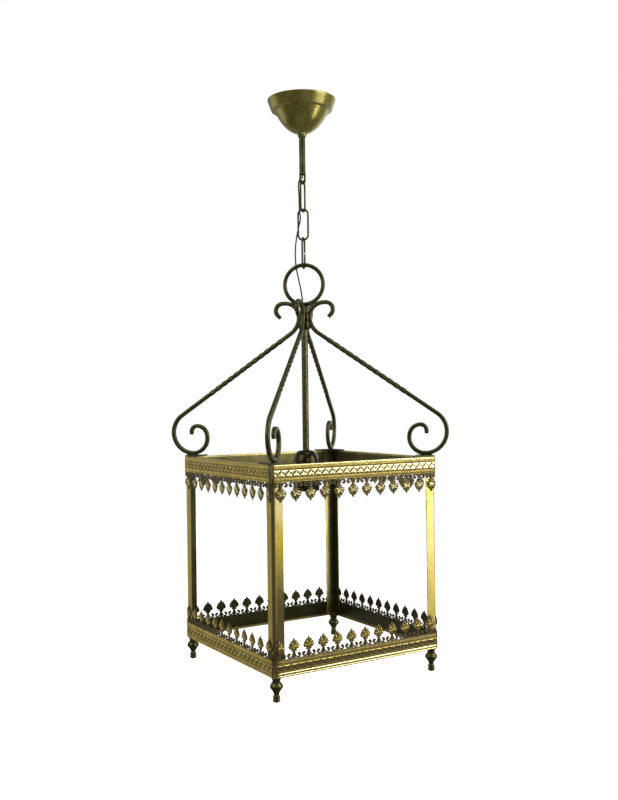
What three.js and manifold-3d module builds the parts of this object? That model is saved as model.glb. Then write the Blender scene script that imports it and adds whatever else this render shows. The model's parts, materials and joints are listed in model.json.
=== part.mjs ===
// Square hanging lantern: a pierced brass cage carried by four scrolled iron arms, a ring, three chain
// links and a stem with a sliding ceiling cup. A flex runs down the chain to a lampholder in the cage.
// Millimetres, +Z up. The origin is the centre of the ceiling plate's upper face. The outer face of the
// front side of the cage looks along -Y.
import * as THREE from "three";
import { mergeVertices, toCreasedNormals } from "three/addons/utils/BufferGeometryUtils.js";
import Module from "manifold-3d";

const wasm = await Module();
wasm.setup();

// Clearance left between pieces that touch
const GAP = 0.3;

// Ceiling plate and its boss
const PLATE_RADIUS = 30;
const PLATE_THICKNESS = 3;
const PLATE_HOLE_EDGE = 7;
const PLATE_HOLE_RADIUS = 2.5;
const BOSS_WALL = 2.95;
const BOSS_DROP = 10;

// Stem with its forged eye
const STEM_RADIUS = 4.75;
const STEM_BORE_RADIUS = 3;
const STEM_DROP = 115;
const EYE_WIRE = 3.4;
const EYE_PLAY = 0.5;
const EYE_DROP = 13.1;
const EYE_LEG_TUCK = 3;
const SIDE_HOLE_RADIUS = 3;
const SIDE_HOLE_DROP = 36.5;
const LOCK_NUT_FLATS = 15;
const LOCK_NUT_HEIGHT = 4;

// Terminal block beside the boss
const BLOCK_SIZE = new THREE.Vector3(12, 20, 14);
const BLOCK_SPACE = 4;

// Ceiling cup, its heights measured down from its rim
const CUP_RIM_DROP = 1;
const CUP_RIM_RADIUS = 52;
const CUP_WALL = 1;
const CUP_SKIRT_RADIUS = 46.5;
const CUP_SKIRT_HEIGHT = 16;
const CUP_SKIRT_HOLLOW = 2.5;
const CUP_STEP_RADIUS = 41;
const CUP_STEP_HEIGHT = 1.5;
const CUP_CREASE_RADIUS = 31;
const CUP_CREASE_DROP = 34;
const CUP_CREASE_WIDTH = 0.6;
const CUP_CREASE_STEP = 0.8;
const CUP_BOWL_HOLLOW = 4;
const CUP_BOWL_LOW_RADIUS = 20.5;
const CUP_BOWL_LOW_RISE = 3;
const CUP_NECK_RADIUS = 8.5;
const CUP_BOWL_DEPTH = 50.5;
const CUP_COLLAR_HEIGHT = 6;
const CUP_COLLAR_TIP = 0.9;
const CUP_RIM_CREST = 0.2;
const GRUB_RADIUS = 1.5;
const GRUB_LENGTH = 3.6;
const GRUB_RISE = 3.9;
const GRUB_ANGLE = -115.5;

// Chain links, bent from wire with a butt joint in one side
const LINK_WIRE = 3;
const LINK_LENGTH = 49.5;
const LINK_WIDTH = 18.5;
const LINK_ANGLES = [34.5, 135, 45];
const LINK_JOINT_GAPS = [0.4, 0.4, 1.5];

// Ring
const RING_RADIUS = 29.9;
const RING_ROD = 6;
const RING_ANGLE = 135;

// Centre tube
const TUBE_RADIUS = 5;
const TUBE_BORE_RADIUS = 3.5;
const TUBE_LENGTH = 222;
const TUBE_RISE = 9.5;

// Scrolled arms of square bar, radii on the bar's centreline
const BAR = 6;
const HOOK_RADIUS = 21.5;
const HOOK_FLAT = 4;
const HOOK_TIP_RADIUS = 10.8;
const HOOK_TIP_TURN = 135;
const HOOK_TIP_LENGTH = 5.5;
const SHOULDER_RADIUS = 30;
const SCROLL_INSET = 16.3;
const SCROLL_DROP = 175.1;
const SCROLL_RADIUS = 32.3;
const SCROLL_TURNS = [
  { radius: 23.5, turn: 110 },
  { radius: 16.5, turn: 70 },
  { radius: 9, turn: 90 },
];
const SCROLL_TIP_LENGTH = 4.5;
const TWIST_LENGTH = 146;
const TWIST_START = 17;
const TWIST_TURNS = 3;
const TWIST_STEP = 45;
const ARC_STEP = 20;
const ARM_ANGLE = 45;

// Cage
const BODY_WIDTH = 280;
const BODY_HEIGHT = 283;
const GUSSET_LEG = 37;
const GUSSET_THICKNESS = 2;
const GUSSET_INSET = 1.5;
const GUSSET_CLIP = 5;
const CORNER_RADIUS = 5;
const CORNER_STEPS = 2;
const POST_LEG = 16;
const POST_WALL = 1.5;
const POST_PAD_THICKNESS = 3;
const POST_PAD_INSET = 0.5;

// Pierced strips, heights measured in from the outer edge
const STRIP_THICKNESS = 1.7;
const STRIP_RECESS = 0.8;
const STRIP_GROOVE = 0.6;
const GROOVE_START = 2.1;
const GROOVE_END = 2.9;
const RECESS_START = 6.3;
const RECESS_END = 17.2;
const RAIL_END = 23.5;
const LIP_DEPTH = 3;
const LIP_THICKNESS = 0.9;

// Row of palmettes between volutes along the inner edge of a strip
const FRIEZE_PITCH = 23.33;
const FRIEZE_SHIFT = 3;
const FRIEZE_SHEET = 1.2;
const FRIEZE_SETBACK = 0.3;
const FRIEZE_OVERLAP = 1;
const PALMETTE_LENGTH = 27;
const PALMETTE_VALLEY = 0.8;
const PALMETTE_NECK_HALF = 2.7;
const PALMETTE_NECK_DROP = 9.4;
const LEAF_DROP = 12.3;
const LEAF_BELLY_DROP = 16.8;
const LEAF_GAP = 4.4;
const LEAF_FLARE = 1.3;
const VOLUTE_GAP = 1.3;
const VOLUTE_DROP = 3.3;
const VOLUTE_RADIUS = 3.5;
const VOLUTE_ANGLES = [-15, 40, 95, 150];

// Feet, profile heights as drops below the cage
const FOOT_INSET = 8.2;
const FOOT_PROFILE = [
  [6.8, 0],
  [5.5, 6.5],
  [7.8, 9],
  [9.1, 12],
  [7.8, 15],
  [5.7, 17.7],
  [3.4, 22.5],
  [5.2, 25.8],
  [4.2, 28],
  [5.3, 30.4],
  [1.3, 33.7],
];
const SPIGOT_RADIUS = 2;

// Lampholder
const HOLDER_RADIUS = 20;
const HOLDER_WALL = 1;
const HOLDER_TOP_RADIUS = 9;
const DOME_HEIGHT = 20.5;
const DOME_SHOULDER_INSET = 2;
const DOME_SHOULDER_DROP = 1;
const CAP_SKIRT = 4;
const HOLDER_HEIGHT = 61;
const RIM_LIP = 1.8;
const TUBE_NUT_FLATS = 14;
const TUBE_NUT_HEIGHT = 5;
const THREAD_SHOW = 2.7;
const SOCKET_RADIUS = 13.6;
const SOCKET_WALL = 0.6;
const SOCKET_INSET = 3.2;
const SOCKET_FLANGE_RADIUS = 8;
const CORE_ROOF = 6.4;
const CONTACT_RADIUS = 4.5;
const CONTACT_BUTTON_RADIUS = 2.5;
const CONTACT_PLATE = 0.8;
const CONTACT_HEIGHT = 2.8;

// Flex
const FLEX_RADIUS = 1.1;
const FLEX_SIDES = 8;
const FLEX_STEP = 6;
const FLEX_VIEW_ANGLE = 31.5;
const FLEX_CUT_STEP = 0.001;
const LEAD_DROP = 6;

// Heights that follow from the hanging order, from the ceiling down
const bossRadius = STEM_RADIUS + GAP + BOSS_WALL;
const eyeLegOffset = (EYE_WIRE + LINK_WIRE) / 2 + EYE_PLAY;
const linkPitch = LINK_LENGTH - 2 * LINK_WIRE - GAP;
const eyeZ = -(STEM_DROP + EYE_DROP);
const firstLinkTop = eyeZ + EYE_WIRE / 2 + GAP + LINK_WIRE;
const linkCentreZ = (index) => firstLinkTop - LINK_LENGTH / 2 - index * linkPitch;
const lastLink = LINK_ANGLES.length - 1;
const ringZ = linkCentreZ(lastLink) - LINK_LENGTH / 2 + LINK_WIRE + GAP + RING_ROD / 2 - RING_RADIUS;
const neckRadius = TUBE_RADIUS + GAP + BAR / 2;
const hookCentreRadius = neckRadius + HOOK_RADIUS;
const ringSeatDistance = RING_RADIUS + RING_ROD / 2 + GAP + BAR / 2 + HOOK_RADIUS;
const hookZ = ringZ - Math.sqrt(ringSeatDistance ** 2 - hookCentreRadius ** 2);
const scrollZ = hookZ - SCROLL_DROP;
const scrollReach = (BODY_WIDTH / 2) * Math.SQRT2 - SCROLL_INSET;
const gussetTop = scrollZ - SCROLL_RADIUS - BAR / 2 - GAP;
const bodyTop = gussetTop - GUSSET_THICKNESS - GAP;
const bodyBottom = bodyTop - BODY_HEIGHT;
const bodyCentreZ = bodyTop - BODY_HEIGHT / 2;
const tubeTop = hookZ + TUBE_RISE;
const tubeBottom = tubeTop - TUBE_LENGTH;
const holderTop = tubeBottom + THREAD_SHOW + TUBE_NUT_HEIGHT + GAP + HOLDER_WALL;

const halfBody = BODY_WIDTH / 2;
const postFace = halfBody - STRIP_THICKNESS - GAP;
const lipInner = halfBody - STRIP_THICKNESS - LIP_DEPTH;

const radians = THREE.MathUtils.degToRad;

// Solids and boolean operations

// Joins vertices that lie together and leaves out triangles that have closed up at an axis.
function weld(geometry) {
  const bare = geometry.index ? geometry.toNonIndexed() : geometry.clone();
  bare.deleteAttribute("normal");
  bare.deleteAttribute("uv");
  const merged = mergeVertices(bare, 1e-4);
  const corners = merged.index.array;
  const kept = [];
  for (let i = 0; i < corners.length; i += 3) {
    const [a, b, c] = corners.slice(i, i + 3);
    if (a !== b && b !== c && c !== a) kept.push(a, b, c);
  }
  merged.setIndex(kept);
  return merged;
}

function toSolid(geometry) {
  const welded = weld(geometry);
  return new wasm.Manifold(new wasm.Mesh({
    numProp: 3,
    vertProperties: new Float32Array(welded.attributes.position.array),
    triVerts: new Uint32Array(welded.index.array),
  }));
}

function toGeometry(solid) {
  const mesh = solid.getMesh();
  const geometry = new THREE.BufferGeometry();
  geometry.setAttribute("position", new THREE.BufferAttribute(new Float32Array(mesh.vertProperties), 3));
  geometry.setIndex(new THREE.BufferAttribute(new Uint32Array(mesh.triVerts), 1));
  return geometry;
}

function join(first, ...others) {
  return toGeometry(others.reduce((solid, other) => solid.add(toSolid(other)), toSolid(first)));
}

function cut(first, ...others) {
  return toGeometry(others.reduce((solid, other) => solid.subtract(toSolid(other)), toSolid(first)));
}

function intersect(first, other) {
  return toGeometry(toSolid(first).intersect(toSolid(other)));
}

// Basic forms, each with its axis along Z

// Turns an outline of [radius, height] points about Z. Taken anticlockwise, it faces outwards.
function revolve(outline, segments) {
  const points = outline.map(([radius, height]) => new THREE.Vector2(radius, height));
  if (THREE.ShapeUtils.area(points) < 0) points.reverse();
  return new THREE.LatheGeometry(points, segments).rotateX(Math.PI / 2);
}

// A revolved outline that closes on itself, for tubes and shells.
function revolveRing(outline, segments) {
  return revolve([...outline, outline[0]], segments);
}

function post(radius, low, high, segments) {
  const length = high - low;
  return new THREE.CylinderGeometry(radius, radius, length, segments)
    .rotateX(Math.PI / 2)
    .translate(0, 0, low + length / 2);
}

function hexagon(flats, low, high) {
  return post(flats / Math.sqrt(3), low, high, 6);
}

function box(low, high) {
  const size = high.clone().sub(low);
  const centre = low.clone().add(high).multiplyScalar(0.5);
  return new THREE.BoxGeometry(size.x, size.y, size.z).translate(centre.x, centre.y, centre.z);
}

const at = (x, y, z) => new THREE.Vector3(x, y, z);

// Bars and wires bent in a plane

// Walks along straight and arc moves from a start, and returns the stations passed on the way. A
// positive turn bears left. Angles are in degrees and every arc is split into steps of about arcStep.
function walk(start, moves, arcStep) {
  const stations = [{ ...start, twist: 0 }];
  let { x, z, heading } = start;
  for (const move of moves) {
    const turning = move.turn !== undefined;
    const twisting = move.twist !== undefined;
    let steps = 1;
    if (turning) steps = Math.ceil(Math.abs(move.turn) / arcStep);
    if (twisting) steps = Math.ceil(Math.abs(move.twist) / TWIST_STEP);
    for (let i = 0; i < steps; i += 1) {
      const turn = turning ? move.turn / steps : 0;
      const chord = turning
        ? 2 * move.radius * Math.sin(Math.abs(radians(turn)) / 2)
        : move.length / steps;
      const middle = radians(heading + turn / 2);
      x += chord * Math.cos(middle);
      z += chord * Math.sin(middle);
      heading += turn;
      const twist = stations[stations.length - 1].twist + (twisting ? move.twist / steps : 0);
      stations.push({ x, z, heading, twist });
    }
  }
  return stations;
}

// Bends a straight bar, whose length runs from z = 0 to z = 1 in as many steps as there are spaces
// between stations, so that it follows the stations in the XZ plane.
function bend(bar, stations) {
  const position = bar.attributes.position;
  const last = stations.length - 1;
  for (let i = 0; i < position.count; i += 1) {
    const station = stations[Math.round(position.getZ(i) * last)];
    const twist = radians(station.twist);
    const across = position.getX(i) * Math.cos(twist) - position.getY(i) * Math.sin(twist);
    const aside = position.getX(i) * Math.sin(twist) + position.getY(i) * Math.cos(twist);
    const heading = radians(station.heading);
    const x = station.x + across * Math.sin(heading);
    const z = station.z - across * Math.cos(heading);
    position.setXYZ(i, x, aside, z);
  }
  return bar;
}

function bendSquareBar(size, stations) {
  const steps = stations.length - 1;
  return bend(new THREE.BoxGeometry(size, size, 1, 1, 1, steps).translate(0, 0, 0.5), stations);
}

function bendWire(radius, sides, stations) {
  const steps = stations.length - 1;
  const wire = new THREE.CylinderGeometry(radius, radius, 1, sides, steps);
  return bend(wire.rotateX(Math.PI / 2).translate(0, 0, 0.5), stations);
}

// Ceiling parts

function ceilingPlate() {
  const boreTop = -PLATE_THICKNESS;
  const boreRadius = STEM_RADIUS + GAP;
  const plate = revolve([
    [0, boreTop],
    [boreRadius, boreTop],
    [boreRadius, -PLATE_THICKNESS - BOSS_DROP],
    [bossRadius, -PLATE_THICKNESS - BOSS_DROP],
    [bossRadius, -PLATE_THICKNESS],
    [PLATE_RADIUS, -PLATE_THICKNESS],
    [PLATE_RADIUS, 0],
    [0, 0],
  ], 20);
  const holes = [-1, 1].map((side) => post(PLATE_HOLE_RADIUS, -2 * PLATE_THICKNESS, PLATE_THICKNESS, 12)
    .translate(0, side * (PLATE_RADIUS - PLATE_HOLE_EDGE), 0));
  return cut(plate, ...holes);
}

// Tube with a hole in its side for the flex, and an eye of round wire under its lower end.
function stem() {
  const tube = revolveRing([
    [STEM_BORE_RADIUS, -STEM_DROP],
    [STEM_RADIUS, -STEM_DROP],
    [STEM_RADIUS, -PLATE_THICKNESS - GAP],
    [STEM_BORE_RADIUS, -PLATE_THICKNESS - GAP],
  ], 20);
  const legLength = EYE_DROP + EYE_LEG_TUCK - eyeLegOffset;
  const start = { x: -eyeLegOffset, z: EYE_LEG_TUCK - STEM_DROP, heading: -90 };
  const stations = walk(start, [
    { length: legLength },
    { turn: 180, radius: eyeLegOffset },
    { length: legLength },
  ], 30);
  const eye = bendWire(EYE_WIRE / 2, 8, stations).rotateZ(radians(LINK_ANGLES[0] + 90));
  const bore = post(STEM_BORE_RADIUS, -STEM_DROP, 0, 20);
  const sideHole = new THREE.CylinderGeometry(SIDE_HOLE_RADIUS, SIDE_HOLE_RADIUS, 2 * STEM_RADIUS, 10)
    .rotateZ(Math.PI / 2)
    .translate(STEM_RADIUS, 0, -SIDE_HOLE_DROP);
  return cut(join(tube, eye), bore, sideHole);
}

function stemLockNut() {
  const top = -PLATE_THICKNESS - BOSS_DROP - GAP;
  const bore = post(STEM_RADIUS + GAP, top - 2 * LOCK_NUT_HEIGHT, top + LOCK_NUT_HEIGHT, 16);
  return cut(hexagon(LOCK_NUT_FLATS, top - LOCK_NUT_HEIGHT, top), bore);
}

function terminalBlock() {
  const top = -PLATE_THICKNESS - GAP;
  const near = bossRadius + BLOCK_SPACE;
  return box(
    at(near, -BLOCK_SIZE.y / 2, top - BLOCK_SIZE.z),
    at(near + BLOCK_SIZE.x, BLOCK_SIZE.y / 2, top),
  );
}

// Spun shell: a flared skirt, a step, a bowl with one crease and a conical collar round the stem.
// The outline runs from the rim to the neck, drawn in by inset, with curves in so many steps.
function cupOutline(inset, steps) {
  const rim = -CUP_RIM_DROP;
  const skirtEnd = rim - CUP_SKIRT_HEIGHT + inset;
  const bowlStart = skirtEnd - CUP_STEP_HEIGHT;
  const crease = rim - CUP_CREASE_DROP + inset / 2;
  const neck = rim - CUP_BOWL_DEPTH + inset;
  const curve = (...points) => new THREE.QuadraticBezierCurve(
    ...points.map(([radius, height]) => new THREE.Vector2(radius - inset, height)),
  ).getPoints(steps).map((point) => [point.x, point.y]);
  return [
    ...curve(
      [CUP_RIM_RADIUS, rim - CUP_WALL],
      [CUP_RIM_RADIUS - CUP_SKIRT_HOLLOW, (rim + skirtEnd) / 2],
      [CUP_SKIRT_RADIUS, skirtEnd],
    ),
    ...curve(
      [CUP_STEP_RADIUS, bowlStart],
      [CUP_STEP_RADIUS - CUP_BOWL_HOLLOW, (bowlStart + crease) / 2],
      [CUP_CREASE_RADIUS, crease],
    ),
    ...curve(
      [CUP_CREASE_RADIUS - CUP_CREASE_WIDTH, crease - CUP_CREASE_STEP],
      [CUP_BOWL_LOW_RADIUS, neck + CUP_BOWL_LOW_RISE],
      [CUP_NECK_RADIUS, neck],
    ),
  ];
}

function ceilingCup() {
  const rim = -CUP_RIM_DROP;
  const neck = rim - CUP_BOWL_DEPTH;
  const bore = STEM_RADIUS + GAP;
  const shell = revolveRing([
    ...cupOutline(0, 3),
    [bore + CUP_COLLAR_TIP, neck - CUP_COLLAR_HEIGHT],
    [bore, neck - CUP_COLLAR_HEIGHT],
    [bore, neck + CUP_WALL],
    ...cupOutline(CUP_WALL, 1).reverse(),
    [CUP_RIM_RADIUS - CUP_WALL, rim],
    [CUP_RIM_RADIUS - CUP_WALL / 2, rim + CUP_RIM_CREST],
  ], 22);
  return cut(shell, grub(GRUB_RADIUS + GAP, 4 * GRUB_LENGTH));
}

// Radial cylinder in the collar, pointing nearly towards the front left corner.
function grub(radius, length) {
  const height = -CUP_RIM_DROP - CUP_BOWL_DEPTH - CUP_COLLAR_HEIGHT + GRUB_RISE;
  return new THREE.CylinderGeometry(radius, radius, length, 10)
    .rotateZ(Math.PI / 2)
    .translate(STEM_RADIUS + GAP + length / 2, 0, height)
    .rotateZ(radians(GRUB_ANGLE));
}

// Chain and ring

// Stadium of wire, opened by a butt joint in the middle of one side.
function chainLink(jointGap) {
  const bendRadius = (LINK_WIDTH - LINK_WIRE) / 2;
  const side = LINK_LENGTH - LINK_WIDTH;
  const start = { x: bendRadius, z: jointGap / 2, heading: 90 };
  const stations = walk(start, [
    { length: (side - jointGap) / 2 },
    { turn: 180, radius: bendRadius },
    { length: side },
    { turn: 180, radius: bendRadius },
    { length: (side - jointGap) / 2 },
  ], 22.5);
  return bendWire(LINK_WIRE / 2, 8, stations);
}

function ring() {
  return new THREE.TorusGeometry(RING_RADIUS, RING_ROD / 2, 8, 30).rotateX(Math.PI / 2);
}

// Arms

// The arm's lower run leaves the shoulder arc on the common inner tangent with the scroll.
function armMoves() {
  const dx = scrollReach - (neckRadius + SHOULDER_RADIUS);
  const dz = -SCROLL_DROP;
  const distance = Math.hypot(dx, dz);
  const lean = Math.asin((SHOULDER_RADIUS + SCROLL_RADIUS) / distance);
  const heading = THREE.MathUtils.radToDeg(Math.atan2(dz, dx) + lean);
  const straight = distance * Math.cos(lean);
  return [
    { turn: 90 + heading, radius: SHOULDER_RADIUS },
    { length: TWIST_START },
    { length: TWIST_LENGTH, twist: TWIST_TURNS * 360 },
    { length: straight - TWIST_START - TWIST_LENGTH },
    { turn: -180 - heading, radius: SCROLL_RADIUS },
    ...SCROLL_TURNS.map(({ radius, turn }) => ({ turn: -turn, radius })),
    { length: SCROLL_TIP_LENGTH },
  ];
}

function arm() {
  const neck = { x: neckRadius, z: hookZ };
  const hook = walk({ ...neck, heading: 90 }, [
    { turn: -90, radius: HOOK_RADIUS },
    { length: HOOK_FLAT },
    { turn: -HOOK_TIP_TURN, radius: HOOK_TIP_RADIUS },
    { length: HOOK_TIP_LENGTH },
  ], ARC_STEP);
  const upward = hook.slice(1).reverse().map((station) => ({ ...station, heading: station.heading + 180 }));
  const downward = walk({ ...neck, heading: -90 }, armMoves(), ARC_STEP);
  return bendSquareBar(BAR, [...upward, ...downward]);
}

// Cage

// Triangular plate in a corner, lying on the return lips, with its sharp points clipped.
function gusset() {
  const corner = halfBody - GUSSET_INSET;
  const far = corner - GUSSET_LEG;
  const outline = new THREE.Shape([
    new THREE.Vector2(corner, corner),
    new THREE.Vector2(far, corner),
    new THREE.Vector2(far, corner - GUSSET_CLIP),
    new THREE.Vector2(corner - GUSSET_CLIP, far),
    new THREE.Vector2(corner, far),
  ]);
  return new THREE.ExtrudeGeometry(outline, { depth: GUSSET_THICKNESS, bevelEnabled: false })
    .translate(0, 0, gussetTop - GUSSET_THICKNESS);
}

// Square prism with round upright edges, to which whatever meets at the cage's corners is trimmed.
function roundedSquare(half, radius, low, high) {
  const outline = new THREE.Shape();
  for (let k = 0; k < 4; k += 1) {
    const angle = (k * Math.PI) / 2;
    const centre = new THREE.Vector2(half - radius, half - radius).rotateAround(new THREE.Vector2(), angle);
    outline.absarc(centre.x, centre.y, radius, angle, angle + Math.PI / 2, false);
  }
  const settings = { depth: high - low, bevelEnabled: false, curveSegments: CORNER_STEPS };
  return new THREE.ExtrudeGeometry(outline, settings).translate(0, 0, low);
}

// Angle bar with a pad welded across its lower end, drilled for the foot's spigot.
function cornerPost() {
  const low = bodyBottom + LIP_THICKNESS + GAP;
  const high = bodyTop - LIP_THICKNESS - GAP;
  const inner = postFace - POST_LEG;
  const web = postFace - POST_WALL;
  const angle = new THREE.Shape([
    new THREE.Vector2(postFace, postFace),
    new THREE.Vector2(inner, postFace),
    new THREE.Vector2(inner, web),
    new THREE.Vector2(web, web),
    new THREE.Vector2(web, inner),
    new THREE.Vector2(postFace, inner),
  ]);
  const bar = new THREE.ExtrudeGeometry(angle, { depth: high - low, bevelEnabled: false })
    .translate(0, 0, low);
  const padEdge = postFace - POST_PAD_INSET;
  const pad = box(at(inner, inner, low), at(padEdge, padEdge, low + POST_PAD_THICKNESS));
  const centre = halfBody - FOOT_INSET;
  const hole = post(SPIGOT_RADIUS + GAP, low - POST_PAD_THICKNESS, low + 2 * POST_PAD_THICKNESS, 12)
    .translate(centre, centre, 0);
  const corner = CORNER_RADIUS - (halfBody - postFace);
  return intersect(cut(join(bar, pad), hole), roundedSquare(postFace, corner, bodyBottom, bodyTop));
}

function foot() {
  const top = bodyBottom - GAP;
  const spigotTop = bodyBottom + LIP_THICKNESS + GAP + POST_PAD_THICKNESS;
  const profile = FOOT_PROFILE.map(([radius, drop]) => [radius, top - drop]);
  const tip = profile[profile.length - 1][1];
  const outline = [[0, spigotTop], [SPIGOT_RADIUS, spigotTop], [SPIGOT_RADIUS, top], ...profile, [0, tip]];
  const centre = halfBody - FOOT_INSET;
  return revolve(outline, 12).translate(centre, centre, 0);
}

// One half of a palmette and its volute, from the valley to the tip: x from its axis, y down.
function palmetteHalf() {
  const leafHalf = (FRIEZE_PITCH - LEAF_GAP) / 2;
  const voluteCentre = (FRIEZE_PITCH - VOLUTE_GAP) / 2 - VOLUTE_RADIUS;
  const volute = VOLUTE_ANGLES.map((angle) => new THREE.Vector2(
    voluteCentre + VOLUTE_RADIUS * Math.cos(radians(angle)),
    VOLUTE_DROP + VOLUTE_RADIUS * Math.sin(radians(angle)),
  ));
  const leaf = new THREE.QuadraticBezierCurve(
    new THREE.Vector2(leafHalf - LEAF_FLARE, LEAF_DROP),
    new THREE.Vector2(leafHalf + LEAF_FLARE, LEAF_BELLY_DROP),
    new THREE.Vector2(0, PALMETTE_LENGTH),
  ).getPoints(2);
  return [...volute, new THREE.Vector2(PALMETTE_NECK_HALF, PALMETTE_NECK_DROP), ...leaf];
}

// Comb of palmettes as one sheet in the XZ plane, hanging from the rail's lower edge at z = edge, and
// trimmed at the strip's ends.
function frieze(edge, low, high) {
  const half = palmetteHalf();
  const count = Math.round(BODY_WIDTH / FRIEZE_PITCH);
  const first = FRIEZE_SHIFT - (count * FRIEZE_PITCH) / 2;
  const outline = new THREE.Shape();
  outline.moveTo(first, edge + FRIEZE_OVERLAP);
  outline.lineTo(first, edge - PALMETTE_VALLEY);
  for (let k = 0; k < count; k += 1) {
    const centre = first + (k + 0.5) * FRIEZE_PITCH;
    half.forEach((point) => outline.lineTo(centre - point.x, edge - point.y));
    half.slice(0, -1).reverse().forEach((point) => outline.lineTo(centre + point.x, edge - point.y));
    outline.lineTo(centre + FRIEZE_PITCH / 2, edge - PALMETTE_VALLEY);
  }
  outline.lineTo(first + count * FRIEZE_PITCH, edge + FRIEZE_OVERLAP);
  const face = -halfBody + FRIEZE_SETBACK;
  const sheet = new THREE.ExtrudeGeometry(outline, { depth: FRIEZE_SHEET, bevelEnabled: false })
    .rotateX(Math.PI / 2)
    .translate(0, face + FRIEZE_SHEET, 0);
  const limits = box(at(low, -BODY_WIDTH, edge - BODY_HEIGHT), at(high, BODY_WIDTH, edge + BODY_HEIGHT));
  return intersect(sheet, limits);
}

// Strip for the upper edge of the front face, about the cage's centre. It laps over the neighbouring
// strip at one end, and the same strip turned half round in its plane makes the lower one.
function strip() {
  const top = BODY_HEIGHT / 2;
  const face = -halfBody;
  const back = face + STRIP_THICKNESS;
  const low = -postFace;
  const high = halfBody;
  const profile = new THREE.Shape([
    new THREE.Vector2(back, top),
    new THREE.Vector2(face, top),
    new THREE.Vector2(face, top - GROOVE_START),
    new THREE.Vector2(face + STRIP_GROOVE, top - (GROOVE_START + GROOVE_END) / 2),
    new THREE.Vector2(face, top - GROOVE_END),
    new THREE.Vector2(face, top - RECESS_START),
    new THREE.Vector2(face + STRIP_RECESS, top - RECESS_START),
    new THREE.Vector2(face + STRIP_RECESS, top - RECESS_END),
    new THREE.Vector2(face, top - RECESS_END),
    new THREE.Vector2(face, top - RAIL_END),
    new THREE.Vector2(back, top - RAIL_END),
  ]);
  const alongX = new THREE.Matrix4().makeBasis(at(0, 1, 0), at(0, 0, 1), at(1, 0, 0));
  const rail = new THREE.ExtrudeGeometry(profile, { depth: high - low, bevelEnabled: false })
    .applyMatrix4(alongX)
    .translate(low, 0, 0);
  const lipEnd = lipInner - GAP;
  const lip = box(at(-lipEnd, back - STRIP_THICKNESS / 2, top - LIP_THICKNESS), at(lipEnd, -lipInner, top));
  const whole = join(rail, lip, frieze(top - RAIL_END, low, high));
  return intersect(whole, roundedSquare(halfBody, CORNER_RADIUS, -top, top));
}

// Centre tube and lampholder

function centreTube() {
  return revolveRing([
    [TUBE_BORE_RADIUS, tubeBottom],
    [TUBE_RADIUS, tubeBottom],
    [TUBE_RADIUS, tubeTop],
    [TUBE_BORE_RADIUS, tubeTop],
  ], 16);
}

function tubeNut() {
  const low = tubeBottom + THREAD_SHOW;
  const bore = post(TUBE_RADIUS + GAP, low - TUBE_NUT_HEIGHT, low + 2 * TUBE_NUT_HEIGHT, 16);
  return cut(hexagon(TUBE_NUT_FLATS, low, low + TUBE_NUT_HEIGHT), bore);
}

function holderCap() {
  const shoulder = (inset) => new THREE.QuadraticBezierCurve(
    new THREE.Vector2(HOLDER_TOP_RADIUS, holderTop - inset),
    new THREE.Vector2(HOLDER_RADIUS - DOME_SHOULDER_INSET - inset, holderTop - DOME_SHOULDER_DROP - inset),
    new THREE.Vector2(HOLDER_RADIUS - inset, holderTop - DOME_HEIGHT),
  ).getPoints(3).map((point) => [point.x, point.y]);
  const bore = TUBE_RADIUS + GAP;
  const skirtEnd = holderTop - DOME_HEIGHT - CAP_SKIRT;
  return revolveRing([
    [bore, holderTop],
    ...shoulder(0),
    [HOLDER_RADIUS, skirtEnd],
    [HOLDER_RADIUS - HOLDER_WALL, skirtEnd],
    ...shoulder(HOLDER_WALL).reverse(),
    [bore, holderTop - HOLDER_WALL],
  ], 20);
}

const shellTop = holderTop - DOME_HEIGHT - CAP_SKIRT - GAP;
const shellBottom = holderTop - HOLDER_HEIGHT;
const shellInner = HOLDER_RADIUS - HOLDER_WALL;

// Plain sleeve that plugs into the cap above and turns in under the insulator below.
function holderShell() {
  const plug = shellInner - GAP;
  const plugTop = shellTop + GAP + CAP_SKIRT;
  const lip = shellInner - RIM_LIP;
  return revolveRing([
    [HOLDER_RADIUS, shellBottom],
    [HOLDER_RADIUS, shellTop],
    [plug, shellTop],
    [plug, plugTop],
    [plug - HOLDER_WALL, plugTop],
    [plug - HOLDER_WALL, shellTop - HOLDER_WALL],
    [shellInner, shellTop - HOLDER_WALL],
    [shellInner, shellBottom + HOLDER_WALL],
    [lip, shellBottom + HOLDER_WALL],
    [lip, shellBottom],
  ], 20);
}

const coreTop = shellTop - HOLDER_WALL - GAP;
const coreBottom = shellBottom + HOLDER_WALL + GAP;
const socketTop = coreTop - CORE_ROOF - GAP;
const socketBottom = coreBottom + SOCKET_INSET;

function holderCore() {
  const well = SOCKET_RADIUS + GAP;
  const outer = shellInner - GAP;
  return revolve([
    [0, socketTop + GAP],
    [well, socketTop + GAP],
    [well, coreBottom],
    [outer, coreBottom],
    [outer, coreTop],
    [0, coreTop],
  ], 20);
}

function screwShell() {
  const inner = SOCKET_RADIUS - SOCKET_WALL;
  return revolveRing([
    [SOCKET_RADIUS, socketBottom],
    [SOCKET_RADIUS, socketTop],
    [SOCKET_FLANGE_RADIUS, socketTop],
    [SOCKET_FLANGE_RADIUS, socketTop - SOCKET_WALL],
    [inner, socketTop - SOCKET_WALL],
    [inner, socketBottom],
  ], 20);
}

function centreContact() {
  return revolve([
    [0, socketTop - CONTACT_HEIGHT],
    [CONTACT_BUTTON_RADIUS, socketTop - CONTACT_HEIGHT],
    [CONTACT_BUTTON_RADIUS, socketTop - CONTACT_PLATE],
    [CONTACT_RADIUS, socketTop - CONTACT_PLATE],
    [CONTACT_RADIUS, socketTop],
    [0, socketTop],
  ], 12);
}

// Flex

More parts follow.
